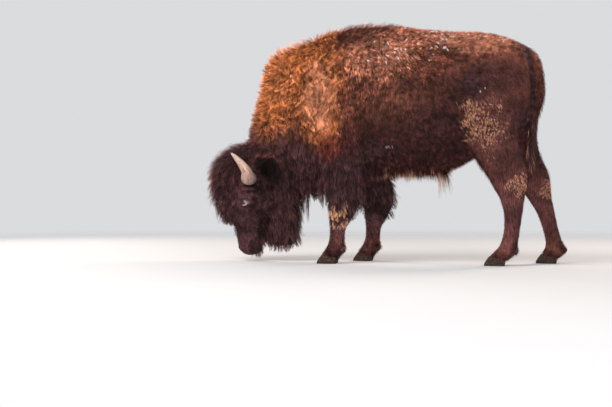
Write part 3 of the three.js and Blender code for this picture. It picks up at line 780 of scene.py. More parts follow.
def show(name, mesh, finish, nodes=()):
    """Puts a mesh in the scene as a piece of the animal."""
    piece = bpy.data.objects.new(name, mesh)
    bpy.context.scene.collection.objects.link(piece)
    mesh.materials.clear()
    mesh.materials.append(finish)
    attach(piece, BODY)
    if nodes:
        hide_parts(*nodes)
    return piece


def finished(name, make):
    """The material of that name, made once."""
    return bpy.data.materials.get(name) or make(bpy.context.scene.bison_colours)


def modified(mesh, *modifiers):
    """A mesh after some modifiers, each a type and its settings."""
    holder = bpy.data.objects.new("holder", mesh)
    bpy.context.scene.collection.objects.link(holder)
    for kind, settings in modifiers:
        modifier = holder.modifiers.new(kind, kind)
        for key, value in settings.items():
            setattr(modifier, key, value)
    done = bpy.data.meshes.new_from_object(
        holder.evaluated_get(bpy.context.evaluated_depsgraph_get())
    )
    bpy.data.objects.remove(holder)
    return done


def remeshed(points, faces, voxel, rounds):
    """One closed surface through voxels, then smoothed."""
    made = modified(
        mesh_of("rough", points, faces),
        ("REMESH", {"mode": "VOXEL", "voxel_size": voxel, "adaptivity": 0.0}),
    )
    points, _, faces = arrays(made)
    points, faces = largest_shell(points, faces)
    return smoothed(points, faces, rounds), faces


def joined(parts):
    """Points and faces of several (points, faces) as one."""
    starts = np.cumsum([0] + [len(points) for points, _ in parts[:-1]])
    return (
        np.concatenate([points for points, _ in parts]),
        np.concatenate([faces + start for (_, faces), start in zip(parts, starts)]),
    )


def largest_shell(points, faces):
    """Keeps the shell with the most vertices."""
    label = np.arange(len(points))
    while True:
        lowest = label[faces].min(axis=1)
        new = label.copy()
        for corner in range(faces.shape[1]):
            np.minimum.at(new, faces[:, corner], lowest)
        new = new[new]
        if (new == label).all():
            break
        label = new
    main = np.bincount(label).argmax()
    kept = label == main
    index = np.cumsum(kept) - 1
    return points[kept], index[faces[kept[faces[:, 0]]]]


def edges_of(faces):
    """The edges of triangles, each once, as pairs of corners."""
    pairs = np.sort(np.concatenate([faces[:, [0, 1]], faces[:, [1, 2]], faces[:, [2, 0]]]), axis=1)
    return np.unique(pairs, axis=0)


def eased(values, edges, rounds):
    """Numbers on vertices, evened out with their neighbours'."""
    a, b = edges.T
    count = np.bincount(a, minlength=len(values)) + np.bincount(b, minlength=len(values))
    for _ in range(rounds):
        around = np.bincount(a, values[b], len(values)) + np.bincount(b, values[a], len(values))
        values = (values + around / np.maximum(count, 1)) / 2
    return values


def smoothed(points, faces, rounds):
    """Evens out a surface without thinning it."""
    edges = edges_of(faces)
    soft = np.stack([eased(points[:, i], edges, rounds) for i in range(3)], axis=1)
    normals = arrays(mesh_of("soft", soft, faces))[1]
    lost = np.einsum("ij,ij->i", points - soft, normals)
    return soft + normals * eased(lost, edges, rounds * 2)[:, None]


def curve(points, count):
    """Evenly spaced points on a smooth curve through the given ones."""
    points = np.asarray(points, float)
    ends = np.vstack([2 * points[0] - points[1], points, 2 * points[-1] - points[-2]])
    t = np.linspace(0, 1, 24, endpoint=False)[:, None]
    laid = [
        0.5 * (2 * p1 + (p2 - p0) * t + (2 * p0 - 5 * p1 + 4 * p2 - p3) * t**2
               + (3 * p1 - p0 - 3 * p2 + p3) * t**3)
        for p0, p1, p2, p3 in zip(ends, ends[1:], ends[2:], ends[3:])
    ]
    laid = np.vstack([*laid, points[-1:]])
    run = np.concatenate([[0], np.cumsum(np.linalg.norm(np.diff(laid, axis=0), axis=1))])
    where = np.linspace(0, run[-1], count)
    return np.stack([np.interp(where, run, laid[:, i]) for i in range(3)], axis=1)


def walls(low, high):
    """Triangles between rings of corners, each given by its corners' numbers."""
    ahead, above = np.roll(low, -1, 1), np.roll(high, -1, 1)
    return np.concatenate([
        np.stack([low, ahead, above], -1).reshape(-1, 3),
        np.stack([low, above, high], -1).reshape(-1, 3),
    ])


def rings_closed(rings, corners):
    """Triangles that close a stack of rings, each with the same number of corners."""
    index = np.arange(rings * corners).reshape(rings, corners)
    fan = np.arange(1, corners - 1)
    bottom = np.stack([np.zeros_like(fan), fan + 1, fan], -1)
    top = np.stack([np.zeros_like(fan), fan, fan + 1], -1) + (rings - 1) * corners
    return np.concatenate([walls(index[:-1], index[1:]), bottom, top])


def turned_out(points, faces):
    """The faces of a closed shell, turned so that they look outwards."""
    a, b, c = (points[faces[:, i]] - points.mean(axis=0) for i in range(3))
    return faces if np.einsum("ij,ij->", a, np.cross(b, c)) > 0 else faces[:, ::-1]


# ---------------------------------------------------------------- the coat's plan


def drawn(points):
    """Frame points on the drawing: the right side is folded onto the left and its legs put level."""
    x, y, z = (points - SHIFT).T
    right = ramp(y, 0.0, 0.04)
    level = x - right * (FORE_SWING.at(x, z) + HIND_SWING.at(x, z))
    return np.stack([level, np.abs(y), z], axis=1)


def patch_weights(points):
    """How much each patch of the coat counts at each frame point."""
    p = drawn(points) / MM
    weights = np.empty((len(p), len(PATCHES)))
    for i, patch in enumerate(PATCHES):
        away = (p - np.array(patch.at)) * (1, PATCH_ACROSS, 1)
        weights[:, i] = (1 + (away**2).sum(axis=1) / patch.reach**2) ** -PATCH_FALL
    return weights / weights.sum(axis=1, keepdims=True)


def blended(weights, quality):
    """A quality of the patches at each point, such as their length."""
    return weights @ np.array([getattr(patch, quality) for patch in PATCHES])


def marks_at(points):
    """The strength of each marking at each frame point."""
    p = drawn(points) / MM
    found = {mark: np.zeros(len(p)) for mark in sorted(MARKINGS)}
    for blot in BLOTS:
        away = np.linalg.norm((p - np.array(blot.at)) / np.array(blot.radii), axis=1)
        found[blot.mark] = np.maximum(found[blot.mark], blot.amount * fade(away, *BLOT_EDGE))
    return found


def hair_kinds(lengths):
    """How shaggy and how long in fleece hair of those lengths in millimetres is."""
    return {"shag": ramp(lengths, *SHAGGY), "fleece": ramp(lengths, *LONG)}


# ---------------------------------------------------------------- the skin

# The eye looks along OUT; its corners lie along ALONG, the front one lower; UP is across them.
OUT = unit(np.array((-0.26, 0.96, 0.04)))
ALONG = square_to(OUT, np.array((0.94, 0, 0.34)))
UP = np.cross(ALONG, OUT)
UP *= np.sign(UP[2])
OPENING = (0.023, 0.016, 0.0152)  # half its length, and its height above and below
GAZE = (-0.0065, -0.003)  # where the middle of the iris lies: forwards and down
LID_DEPTH = 0.0034  # how thick the lids lie on the eyeball
LID_CREASE = 260.0  # how sharply the lids leave the brow

MOUTH = (
    (-0.974, 0.0, 0.036), (-0.97, 0.03, 0.043), (-0.96, 0.056, 0.07), (-0.944, 0.07, 0.11),
    (-0.926, 0.076, 0.155),
)
NOSTRIL = np.array((-1.043, 0.052, 0.09))

EAR_PATH = ((-915, 108, 670), (-905, 122, 676), (-872, 176, 694), (-826, 222, 714), (-778, 251, 725))
EAR_HALF = ((0, 0.15, 0.35, 0.62, 0.85, 1), (14, 17, 31, 36, 22, 3))
EAR_CUP = ((0, 0.3, 0.7, 1), (4, 13, 12, 2))
EAR_THICK = ((0, 0.3, 1), (12, 5, 2.4))


def flesh_surface(sizes):
    """The flesh of the frame as one closed surface, out to the tips of the coat."""
    dewclaws = [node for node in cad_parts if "dewclaw" in node]
    parts = [solid(node) for node in (*FLESH, "eye_left", "eye_right", *dewclaws)]
    return remeshed(*joined(parts), sizes.rough_skin, 14)


SHEATH_TOP = 0.612  # the skin under the tuft at the sheath is flattened below this height
SOLE_GAP = 0.003  # the skin ends this far above the floor
THIN = (0.3, 0.38)  # the coat takes no more than these shares of a body's thickness


def thickness(points, normals, faces):
    """How thick the body is behind each point of its surface."""
    tree = BVHTree.FromPolygons(points.tolist(), faces.tolist())
    thick = np.empty(len(points))
    for i, (point, normal) in enumerate(zip(points, normals)):
        hit = tree.ray_cast(Vector(point - normal * 0.002), Vector(-normal), 1.0)
        thick[i] = hit[3] if hit[3] is not None else 1.0
    return thick


def drawn_in(points, faces):
    """Moves a surface inwards by the depth of the coat, and by no more than its thickness allows."""
    _, normals, _ = arrays(mesh_of("outline", points, faces))
    thick = thickness(points, normals, faces)
    edges = edges_of(faces)
    depth = np.minimum(blended(patch_weights(points), "depth") * MM, THIN[0] * thick)
    depth = np.minimum(eased(depth, edges, 12), THIN[1] * thick)
    inside = points - normals * eased(depth, edges, 4)[:, None]
    x, y, z = (inside - SHIFT).T
    under_sheath = (x > 0.3) & (x < 0.5) & (np.abs(y) < 0.07) & (z < SHEATH_TOP)
    inside[:, 2] = np.where(under_sheath, SHEATH_TOP + (z - SHEATH_TOP) * 0.06, inside[:, 2])
    return inside


def refined(points, faces, near):
    """Splits the faces in a region into four."""
    bm = bmesh.new()
    bm.from_mesh(mesh_of("coarse", points, faces))
    inside = near(points)
    edges = [edge for edge in bm.edges if inside[edge.verts[0].index] and inside[edge.verts[1].index]]
    bmesh.ops.subdivide_edges(bm, edges=edges, cuts=1, use_grid_fill=True)
    bmesh.ops.triangulate(bm, faces=bm.faces[:])
    mesh = bpy.data.meshes.new("finer")
    bm.to_mesh(mesh)
    bm.free()
    points, _, faces = arrays(mesh)
    return points, faces


def near_face(points):
    """The bare and short-haired front of the head."""
    x, _, z = (points - SHIFT).T
    return (x < -0.86) & (z < 0.58) & (x > -1.14 + 0.1 * (z > 0.3))


def near_detail(points):
    """The surroundings of eyes, nostrils and mouth."""
    p = points - SHIFT
    p[:, 1] = np.abs(p[:, 1])
    x, _, z = p.T
    eye = np.linalg.norm(p - EYE - (0, 0, 0.02), axis=1) < 0.075
    return eye | ((z < 0.17) & (x < -0.87))


def lids_laid(p, along, up, out, off):
    """Lays lids over the eyeball, in a shallow hollow under a raised brow."""
    lid = EYE_RADIUS + LID_DEPTH
    rim = lid * 0.98
    hollow = -0.006 * bell(off, 0.036) + 0.005 * bell(off - 0.05, 0.014) * ramp(up, -0.01, 0.03)
    dome = np.sqrt(np.maximum(lid**2 - off**2, 0))
    shell = np.where(off < rim, dome, lid * 0.2 - (off - rim) * 1.6)
    opened = np.hypot(along / OPENING[0], up / np.where(up > 0, OPENING[1], OPENING[2]))
    laid = np.logaddexp((out + hollow) * LID_CREASE, shell * LID_CREASE) / LID_CREASE
    laid -= 0.011 * fade(opened, 0.86, 1.04)
    near = ((off < 0.075) & (out > -0.02)) * fade(off, 0.06, 0.075)
    return p + (near * (laid - out))[:, None] * OUT


def eye_folds(p, along, up, out, off):
    """How high the arched folds above the eye and the rolls below it stand, less the crease in front."""
    angle = np.abs(np.arctan2(along, up))
    waver = 0.0035 * np.sin(along * 95 + 0.6) + 0.002 * np.sin(along * 210 - up * 60)
    arches = np.cos((off - 0.041 + waver) / 0.0155 * TURN) * ramp(off, 0.032, 0.042)
    arches *= fade(off, 0.078, 0.098) * fade(angle, 0.75, 1.25)
    rolls = np.cos((off - 0.034) / 0.013 * TURN) * ramp(off, 0.026, 0.032)
    rolls *= fade(off, 0.044, 0.056) * fade(math.pi - angle, 0.6, 1.1)
    aside = unit(np.cross(OUT, np.array((-0.45, 0, -0.9))))
    crease = bell((p - EYE) @ aside + 0.014, 0.005)
    crease *= ramp(-up, 0.008, 0.02) * fade(-up, 0.05, 0.085) * (off < 0.1)
    return (0.0034 * arches + 0.0022 * rolls - 0.003 * crease) * (out > -0.03)


def nostrils(p):
    """How the skin dips into each nostril, a comma, and stands up as its rim."""
    face = unit(np.array((-0.72, 0.66, -0.12)))
    slit = square_to(face, np.array((0.5, 0.42, 0.75)))
    v = p - NOSTRIL
    reach, width, height = v @ slit, v @ np.cross(face, slit), v @ face
    bent = width + reach**2 * 16
    ringed = np.hypot(reach / 0.021, bent / (0.0095 + 0.12 * reach))
    dip = -0.015 * fade(ringed, 0.25, 1.0) + 0.0028 * bell(ringed - 1.35, 0.35)
    return dip * (np.abs(height) < 0.04)


def lips(p):
    """How the skin dips along the line of the mouth, with the lips swelling beside it."""
    line = curve(MOUTH, 40)
    gap = np.full(len(p), 9.0)
    some = np.flatnonzero((p[:, 2] < 0.2) & (p[:, 0] < -0.88))
    gap[some] = np.linalg.norm(p[some, None, :] - line[None], axis=2).min(axis=1)
    return -0.0065 * bell(gap, 0.0042) + 0.0016 * bell(gap - 0.011, 0.006)


def sculpted(points, faces):
    """Shapes lids, folds, nostrils and lips into the skin of the head."""
    normals = arrays(mesh_of("head", points, faces))[1]
    fold = np.where(points[:, 1:2] < 0, (1.0, -1.0, 1.0), (1.0, 1.0, 1.0))
    p, n = (points - SHIFT) * fold, normals * fold
    along, up, out = ((p - EYE) @ axis for axis in (ALONG, UP, OUT))
    from_eye = along, up, out, np.hypot(along, up)
    p = lids_laid(p, *from_eye)
    p = p + n * eye_folds(p, *from_eye)[:, None]
    p = p + n * nostrils(p)[:, None]
    p = p + n * lips(p)[:, None]
    return p * fold + SHIFT


def ear_shell(way):
    """A cupped ear with a hollow that faces forwards and out."""
    path = curve(EAR_PATH, 22) * MM * (1, way, 1) + SHIFT
    share = np.linspace(0, 1, len(path))
    ahead = unit(np.gradient(path, axis=0))
    facing = np.array((-0.65, way * 0.75, 0.0))
    front = unit(facing - ahead * (ahead @ facing)[:, None])
    across = np.cross(ahead, front)
    half, cup, thick = (np.interp(share, *table) * MM for table in (EAR_HALF, EAR_CUP, EAR_THICK))
    steps = np.linspace(-1, 1, 15)
    back = [(s, -(1 - s * s), 0.0) for s in steps]
    inner = [(s * 0.93, -(1 - s * s), 1.0) for s in steps[::-1]]
    rings = np.stack([
        path + across * (half * s)[:, None] + front * (cup * dip + cup * 0.5 + thick * up)[:, None]
        for s, dip, up in back + inner
    ], axis=1)
    points = rings.reshape(-1, 3)
    return points, turned_out(points, rings_closed(len(path), len(steps) * 2))


MOST_TRIANGLES = 199_000  # of one piece


class Skin:
    """The finished skin, kept for the pieces that grow on it."""

    points = normals = faces = None
    tree = None  # of the skin, to find places on it
    outline = None  # a tree of the surface at the tips of the coat


def make_skin():
    """The skin of the whole animal, as one piece."""
    sizes = bpy.context.scene.bison_sizes
    surface, faces = flesh_surface(sizes)
    outline = joined([(surface, faces), *(solid(node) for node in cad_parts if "claw" in node)])
    Skin.outline = BVHTree.FromPolygons(*(part.tolist() for part in outline))
    points, faces = remeshed(drawn_in(surface, faces), faces, sizes.fine_skin, 5)
    points, faces = refined(points, faces, near_face)
    points, faces = refined(points, faces, near_detail)
    points = sculpted(points, faces)
    points, faces = joined([(points, faces), *(ear_shell(way) for _, way in SIDES)])
    points[:, 2] = np.maximum(points[:, 2], SOLE_GAP)
    lengths = blended(patch_weights(points), "length")
    none = np.zeros(len(points))
    # The skin's tip field is painted shade: the skin is darker where the coat over it is longer.
    fields = {
        **marks_at(points), **hair_kinds(lengths), "tip": 0.08 + 0.55 * fade(lengths, 18, 40),
        "tone": none, "straw_lock": none, "snow_lock": none,
    }
    mesh = mesh_of("skin", points, faces, fields)
    Skin.points, Skin.normals, Skin.faces = arrays(mesh)
    Skin.tree = BVHTree.FromPolygons(Skin.points.tolist(), Skin.faces.tolist())
    if len(Skin.faces) > MOST_TRIANGLES:
        raise RuntimeError(f"the skin has {len(Skin.faces)} triangles")
    show("skin", mesh, finished("skin", skin_finish), (*FLESH, *EARS))


# ---------------------------------------------------------------- eyes, horns and claws


EYE_RINGS, EYE_CORNERS = 30, 48
CORNEA = 0.0011  # how far it bulges out of the eyeball
EYE_BACK = 0.62  # the share of a half turn at which the eyeball ends, within the head


def make_eyes():
    """Eyeballs with a bulging cornea, flat at the back."""
    iris = bpy.context.scene.bison_sizes.iris
    angle = np.linspace(0.02, math.pi * EYE_BACK, EYE_RINGS)
    turn = np.linspace(0, TURN, EYE_CORNERS, endpoint=False)
    radius = EYE_RADIUS + CORNEA * fade(angle, 0.35, 0.75)
    along = np.outer(radius * np.sin(angle), np.cos(turn)).ravel()
    up = np.outer(radius * np.sin(angle), np.sin(turn)).ravel()
    out = np.repeat(radius * np.cos(angle), EYE_CORNERS)
    ball = EYE + along[:, None] * ALONG + up[:, None] * UP + out[:, None] * OUT
    fields = {"across": (along - GAZE[0]) / iris, "up": (up - GAZE[1]) / iris}
    for name, way in SIDES:
        points = ball * (1, way, 1) + SHIFT
        faces = turned_out(points, rings_closed(EYE_RINGS, EYE_CORNERS))
        eye = mesh_of(f"eye_{name}", points, faces, fields)
        show(f"eyeball_{name}", eye, finished("wet_eye", eye_finish), (f"eye_{name}",))


LID_PLACES, LID_CORNERS = 72, 10  # round the opening, and round the roll of its edge
LASH_LENGTH, LASH_WIDTH = 0.013, 0.0011
LASH_CHANCE = 4
LASHES_ABOVE = 0.25  # lashes stand on the upper lid where it is this far above the corners


def lid_edge():
    """Points round the opening of the eye, how far up each is, and its ways outwards and aside."""
    turn = np.linspace(0, TURN, LID_PLACES, endpoint=False)
    rise = np.sin(turn)
    along = OPENING[0] * np.cos(turn)
    up = np.where(rise > 0, OPENING[1], OPENING[2]) * rise * (1 - 0.18 * np.cos(turn) ** 4)
    out = np.sqrt((EYE_RADIUS + 0.0016) ** 2 - along**2 - up**2)
    line = EYE + along[:, None] * ALONG + up[:, None] * UP + out[:, None] * OUT
    outwards = unit(line - EYE)
    aside = unit(np.cross(np.roll(line, -1, 0) - np.roll(line, 1, 0), outwards))
    aside *= np.sign(np.einsum("ij,ij->i", aside, line - EYE - OUT * EYE_RADIUS))[:, None]
    return line, rise, outwards, aside


def lid_roll(line, rise, outwards, aside):
    """The edge of both lids as one closed roll, and how pink it is."""
    lid = bpy.context.scene.bison_sizes.lid
    thick = lid * (0.72 + 0.5 * np.abs(rise)) * np.where(rise < 0, 1.15, 1)
    turns = np.linspace(0, TURN, LID_CORNERS, endpoint=False)
    rings = np.stack([
        line + aside * (thick * (np.cos(turn) + 0.75))[:, None]
        + outwards * (thick * 0.8 * np.sin(turn))[:, None]
        for turn in turns
    ], axis=1)
    index = np.arange(LID_PLACES * LID_CORNERS).reshape(LID_PLACES, LID_CORNERS)
    pink = np.repeat(fade(rise, -0.45, 0.15), LID_CORNERS)
    return rings.reshape(-1, 3), walls(index, np.roll(index, -1, 0)), pink


def lashes(line, rise, outwards, aside):
    """The lines of the lashes, two from each place on the upper lid."""
    chance = np.random.default_rng(LASH_CHANCE)
    upper = np.repeat(np.flatnonzero(rise > LASHES_ABOVE), 2)
    root = (line + aside * 0.003 + outwards * 0.002)[upper]
    root = root + chance.normal(0, 0.0008, root.shape)
    lie = unit(outwards[upper] * 0.8 + ALONG * chance.normal(0.1, 0.25, (len(root), 1)) - UP * 0.25)
    spine = root[:, None] + lie[:, None] * (np.array((0, 0.5, 1)) * LASH_LENGTH)[:, None]
    spine[:, 2] -= UP * 0.004  # the tips hang
    return spine


def make_lids():
    """Lid edges round each eye, with lashes on the upper one."""
    edge = lid_edge()
    roll, roll_faces, pink = lid_roll(*edge)
    spine = lashes(*edge)
    finish = finished("eyelid", lid_finish)
    for name, way in SIDES:
        mirror = np.array((1, way, 1))
        points = roll * mirror + SHIFT
        rim = mesh_of(f"eyelids_{name}", points, turned_out(points, roll_faces), {"pink": pink})
        show(f"eyelids_{name}", rim, finish)
        above = np.tile(UP * mirror, (len(spine), 1))
        points, faces, fields, _ = locks(
            spine * mirror + SHIFT, above, np.full(len(spine), LASH_WIDTH)
        )
        fields["pink"] = np.zeros(len(points))
        show(f"lashes_{name}", mesh_of(f"lashes_{name}", points, faces, fields), finish)


HORN_PATH = (
    (-957, 80, 588), (-954, 110, 588), (-946, 180, 588), (-936, 232, 594), (-933, 264, 631),
    (-959, 278, 674), (-990, 283, 711), (-1019, 279, 740), (-1045, 268, 761),
)
HORN_RADII = (
    (0, 0.3, 0.41, 0.53, 0.67, 0.8, 0.91, 0.97, 1),
    (48, 48, 44, 36, 28, 20, 12, 7, 2.5),
)
HORN_TIP = 0.0015
HORN_RINGS, HORN_CORNERS, HORN_PLACES = 72, 48, 240
HORN_VOXEL, CLAW_VOXEL = 0.0024, 0.003
SOLE_HEIGHT = 0.004  # all of a claw below this height is pressed flat on the floor


def horn_line(way, rings):
    """The line of a horn, with two directions across it at each place."""
    path = curve(HORN_PATH, rings) * MM * (1, way, 1) + SHIFT
    ahead = unit(np.gradient(path, axis=0))
    side = unit(np.cross(ahead, (0, 0, 1.0)))
    for i in range(1, rings):
        side[i] = square_to(ahead[i], side[i - 1])
    return path, side, np.cross(ahead, side)


def horn_widths(share, turn):
    """The radii round each ring of a horn, with swellings near the base and flutes along it."""
    radius = np.interp(share, *HORN_RADII) * MM
    radius = np.convolve(np.pad(radius, 3, "edge"), np.ones(7) / 7, "valid")
    radius[-1] = HORN_TIP
    swell = 1 + 0.012 * np.sin(share * 120) * fade(share, 0.25, 0.55)
    fluted = 0.009 * ramp(share, 0.05, 0.3) * fade(share, 0.7, 1)
    return (radius * swell)[:, None] * (1 + np.outer(fluted, np.sin(turn * 9 + 1.3)))


def make_horns():
    """Horn sheaths, with how far along and round each of their points lies."""
    turn = np.linspace(0, TURN, HORN_CORNERS, endpoint=False)
    wide = horn_widths(np.linspace(0, 1, HORN_RINGS), turn)
    for name, way in SIDES:
        path, side, other = (part[:, None] for part in horn_line(way, HORN_RINGS))
        rings = path + side * (wide * np.cos(turn))[..., None] + other * (wide * np.sin(turn))[..., None]
        points = rings.reshape(-1, 3)
        faces = turned_out(points, rings_closed(HORN_RINGS, HORN_CORNERS))
        points, faces = remeshed(points, faces, HORN_VOXEL, 4)
        path, side, other = horn_line(way, HORN_PLACES)
        place = np.linalg.norm(points[:, None] - path[None], axis=2).argmin(axis=1)
        away = points - path[place]
        around = np.arctan2((away * other[place]).sum(axis=1), (away * side[place]).sum(axis=1))
        fields = {"along": place / (HORN_PLACES - 1), "around": np.abs(around) / math.pi}
        sheath = mesh_of(f"horn_{name}", points, faces, fields)
        finish = finished("grained_horn", horn_finish)
        show(f"horn_sheath_{name}", sheath, finish, (f"horn_{name}",))


def narrowed_dewclaw(points):
    """A dewclaw that narrows towards the ground, and lies a little further forwards."""
    low, high = points.min(axis=0), points.max(axis=0)
    height = (points[:, 2:] - low[2]) / (high[2] - low[2])
    points[:, :2] -= (points[:, :2] - (low + high)[:2] / 2) * (0.1 + 0.35 * (1 - height))
    points[:, 0] -= 0.004
    return points


def make_claws():
    """Claws with rounded walls and flat soles, and the dewclaws behind them."""
    finish = finished("hoof_wall", claw_finish)
    for node in [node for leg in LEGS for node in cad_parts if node.startswith(leg + "_")]:
        points, faces = remeshed(*solid(node), CLAW_VOXEL, 4)
        if "dewclaw" in node:
            points = narrowed_dewclaw(points)
        else:
            points[:, 2] = np.where(points[:, 2] < SOLE_HEIGHT, 0.0, points[:, 2])
        name = node.replace("_claw_", "_hoof_").replace("_dewclaw_", "_dew_")
        show(name, mesh_of(node, points, faces), finish, (node,))


# ---------------------------------------------------------------- the coat


class Piece(NamedTuple):
    """How the locks of one piece of coat are made."""

    rings: int  # of three corners each, before the tip
    share: int  # its share of the coat's triangles
    split: bool = True  # into left and right


PIECES = {
    "back": Piece(2, 150), "beard": Piece(4, 85, False), "bonnet": Piece(4, 165),
    "cape": Piece(4, 205), "ear": Piece(2, 30, False), "face": Piece(2, 95, False),
    "flank": Piece(1, 125), "foreleg": Piece(3, 165), "hindleg": Piece(1, 90),
    "mane": Piece(4, 235), "rump": Piece(1, 110), "tail": Piece(3, 45),
}
LOCK_ON_MAP = 0.0028  # how large a lock's own patch of the map is
RIDGE = 0.42  # how high a lock's ridge stands, in its widths


def lock_faces(rings):
    """The triangles of one closed three-sided lock, looking outwards."""
    faces = [(0, 2, 1)]
    for ring in range(rings - 1):
        for corner in range(3):
            a, b = ring * 3 + corner, ring * 3 + (corner + 1) % 3
            faces += [(a, b, b + 3), (a, b + 3, a + 3)]
    last = (rings - 1) * 3
    faces += [(last + c, last + (c + 1) % 3, rings * 3) for c in range(3)]
    return np.array(faces)


def locks(spine, up, width):
    """Closed three-sided locks along their spines, each swelling and then tapering to a point.

    spine is (locks, stations, 3). Gives points, triangles, fields and each point's place in the
    lock's patch of the map.
    """
    count, stations, _ = spine.shape
    rings = stations - 1
    ahead = unit(np.gradient(spine, axis=1))
    side = unit(np.cross(ahead, up[:, None]))
    top = np.cross(side, ahead)[:, :rings]
    share = np.linspace(0, 1, stations)
    taper = (0.75 + 0.7 * share) * (1 - share**1.6)
    wide = (width[:, None] * taper[:rings])[..., None]
    body, half = spine[:, :rings], side[:, :rings] * wide / 2
    corners = np.stack([body - half, body + top * wide * RIDGE, body + half], axis=2)
    points = np.concatenate([corners.reshape(count, rings * 3, 3), spine[:, -1:]], axis=1)
    each = rings * 3 + 1
    faces = lock_faces(rings) + (np.arange(count) * each)[:, None, None]

    tip = np.append(np.repeat(share[:rings], 3), 1.0)
    across = np.append(np.tile((-0.5, 0.0, 0.5), rings), 0.0)
    ridge = np.append(np.tile((0.0, 0.12, 0.0), rings), 0.0)
    spot = np.stack([across, tip * 0.88 + ridge - 0.5], axis=1) * LOCK_ON_MAP
    fields = {"tip": np.tile(tip, count)}
    return points.reshape(-1, 3), faces.reshape(-1, 3), fields, np.tile(spot, (count, 1))


def triangles_of(piece):
    """The triangles of each lock in a piece."""
    return len(lock_faces(PIECES[piece].rings))


def clear_of_bare_parts(points):
    """1 where hair may grow, and 0 on the eyes, in the nostrils, under the horns and on the soles."""
    p = points - SHIFT
    p[:, 1] = np.abs(p[:, 1])
    v = p - EYE
    opened = np.hypot(v @ ALONG / 0.026, v @ UP / 0.0185)
    eye = np.where(np.linalg.norm(v, axis=1) < 0.05, ramp(opened, 1.0, 1.25), 1)
    base = curve(HORN_PATH, 30)[:16] * MM
    horn = np.linalg.norm(p[:, None] - base[None], axis=2).min(axis=1)
    nostril = np.linalg.norm(p - NOSTRIL, axis=1)
    return eye * ramp(horn, 0.045, 0.052) * ramp(nostril, 0.02, 0.028) * (p[:, 2] >= 0.035)


def locks_wanted(grows):
    """How many locks each face of the skin gets, so that each piece has its share of triangles."""
    points, faces = Skin.points, Skin.faces
    bare = marks_at(points)
    density = grows["cover"] / (grows["length"] * grows["width"]) * clear_of_bare_parts(points)
    density *= fade(bare["nose"], 0.3, 0.6) * (1 - 0.9 * ramp(bare["lip"], 0.3, 0.6))
    a, b, c = (points[faces[:, i]] for i in range(3))
    wanted = density[faces].mean(axis=1) * np.linalg.norm(np.cross(b - a, c - a), axis=1) / 2
    owned = grows["piece"][faces].mean(axis=1)
    budget = bpy.context.scene.bison_sizes.triangles * 1
    cost = np.array([triangles_of(name) for name in sorted(PIECES)])
    share = np.array([PIECES[name].share for name in sorted(PIECES)])
    wanted *= owned @ (share / share.sum() * budget / cost / (wanted @ owned))
    return wanted * (budget / (wanted @ owned @ cost))


def sown(wanted, chance):
    """Roots spread over the skin: the corners of each one's face, and how near it lies to each."""
    total, steps = int(wanted.sum()), np.cumsum(wanted)
    face = np.searchsorted(steps, (np.arange(total) + chance.random(total)) / total * steps[-1])
    face = np.minimum(face, len(wanted) - 1)
    r, s = chance.random((2, total))
    r = np.sqrt(r)
    return Skin.faces[face], np.stack([1 - r, r * (1 - s), r * s], axis=1)


def plan_coat():
    """Sows roots over the skin and works out how each lock grows, one array for each quality."""
    chance = np.random.default_rng(bpy.context.scene.bison_sizes.seed)
    points = Skin.points
    weights = patch_weights(points)
    grows = {key: blended(weights, key) for key in ("curl", "clump", "cover", "wild")}
    grows |= {key: blended(weights, key) * MM for key in ("length", "width", "loose")}
    grows["stand"] = np.radians(blended(weights, "stand"))
    grows["lie"] = weights @ np.array([unit(np.array(patch.lie, float)) for patch in PATCHES])
    grows["lie"][:, 1] *= np.clip(points[:, 1] / 0.05, -1, 1)
    grows["depth"] = np.array([Skin.outline.find_nearest(Vector(p))[3] or 0.0 for p in points])
    grows["root"], grows["normal"] = points, Skin.normals
    grows["piece"] = np.stack([
        weights[:, [patch.piece == name for patch in PATCHES]].sum(axis=1) for name in sorted(PIECES)
    ], axis=1)
    corners, near = sown(locks_wanted(grows), chance)
    plan = {
        key: np.einsum("ij,ij...->i...", near, values[corners]) for key, values in grows.items()
    }
    total = len(corners)
    plan["piece"] = plan["piece"].argmax(axis=1)
    plan["normal"] = unit(plan["normal"])
    lie = unit(plan["lie"] + chance.normal(0, 0.16, (total, 3)))
    inwards = np.minimum(np.einsum("ij,ij->i", lie, plan["normal"]), 0)
    plan["lie"] = unit(lie - plan["normal"] * inwards[:, None])
    plan["leaders"] = np.interp(plan["length"], (0.02, 0.06, 0.1), (0.2, 0.14, 0.09))
    plan["length"] *= chance.uniform(0.75, 1.15, total)
    plan["width"] *= chance.uniform(0.7, 1.25, total)
    plan["tone"] = np.clip(chance.normal(0, 0.45, total), -1, 1)
    plan["chance"] = chance.random((total, 4))
    return plan


STEEP, FLATTENING = 1.45, 0.95  # a lock's rise at its root, and how much of it is gone at its tip
WAVE_TURNS, WAVE_WIDTH = 1.25, 0.17  # of a curled lock, the width in its own lengths
ROOT_SUNK = 0.003  # how deep a lock starts in the skin
FLOOR_GAP = 0.004  # how far every lock stays above the floor
STRAY_SHARE = 0.15  # the share of locks that hardly join their clump
CLUMP_REACH = (0.04, 0.07)  # a lock lets go of its leader between these distances
TRIMS, LOWERED, SHORTENED = 7, 0.82, 0.86  # how a lock that leaves the outline is trimmed


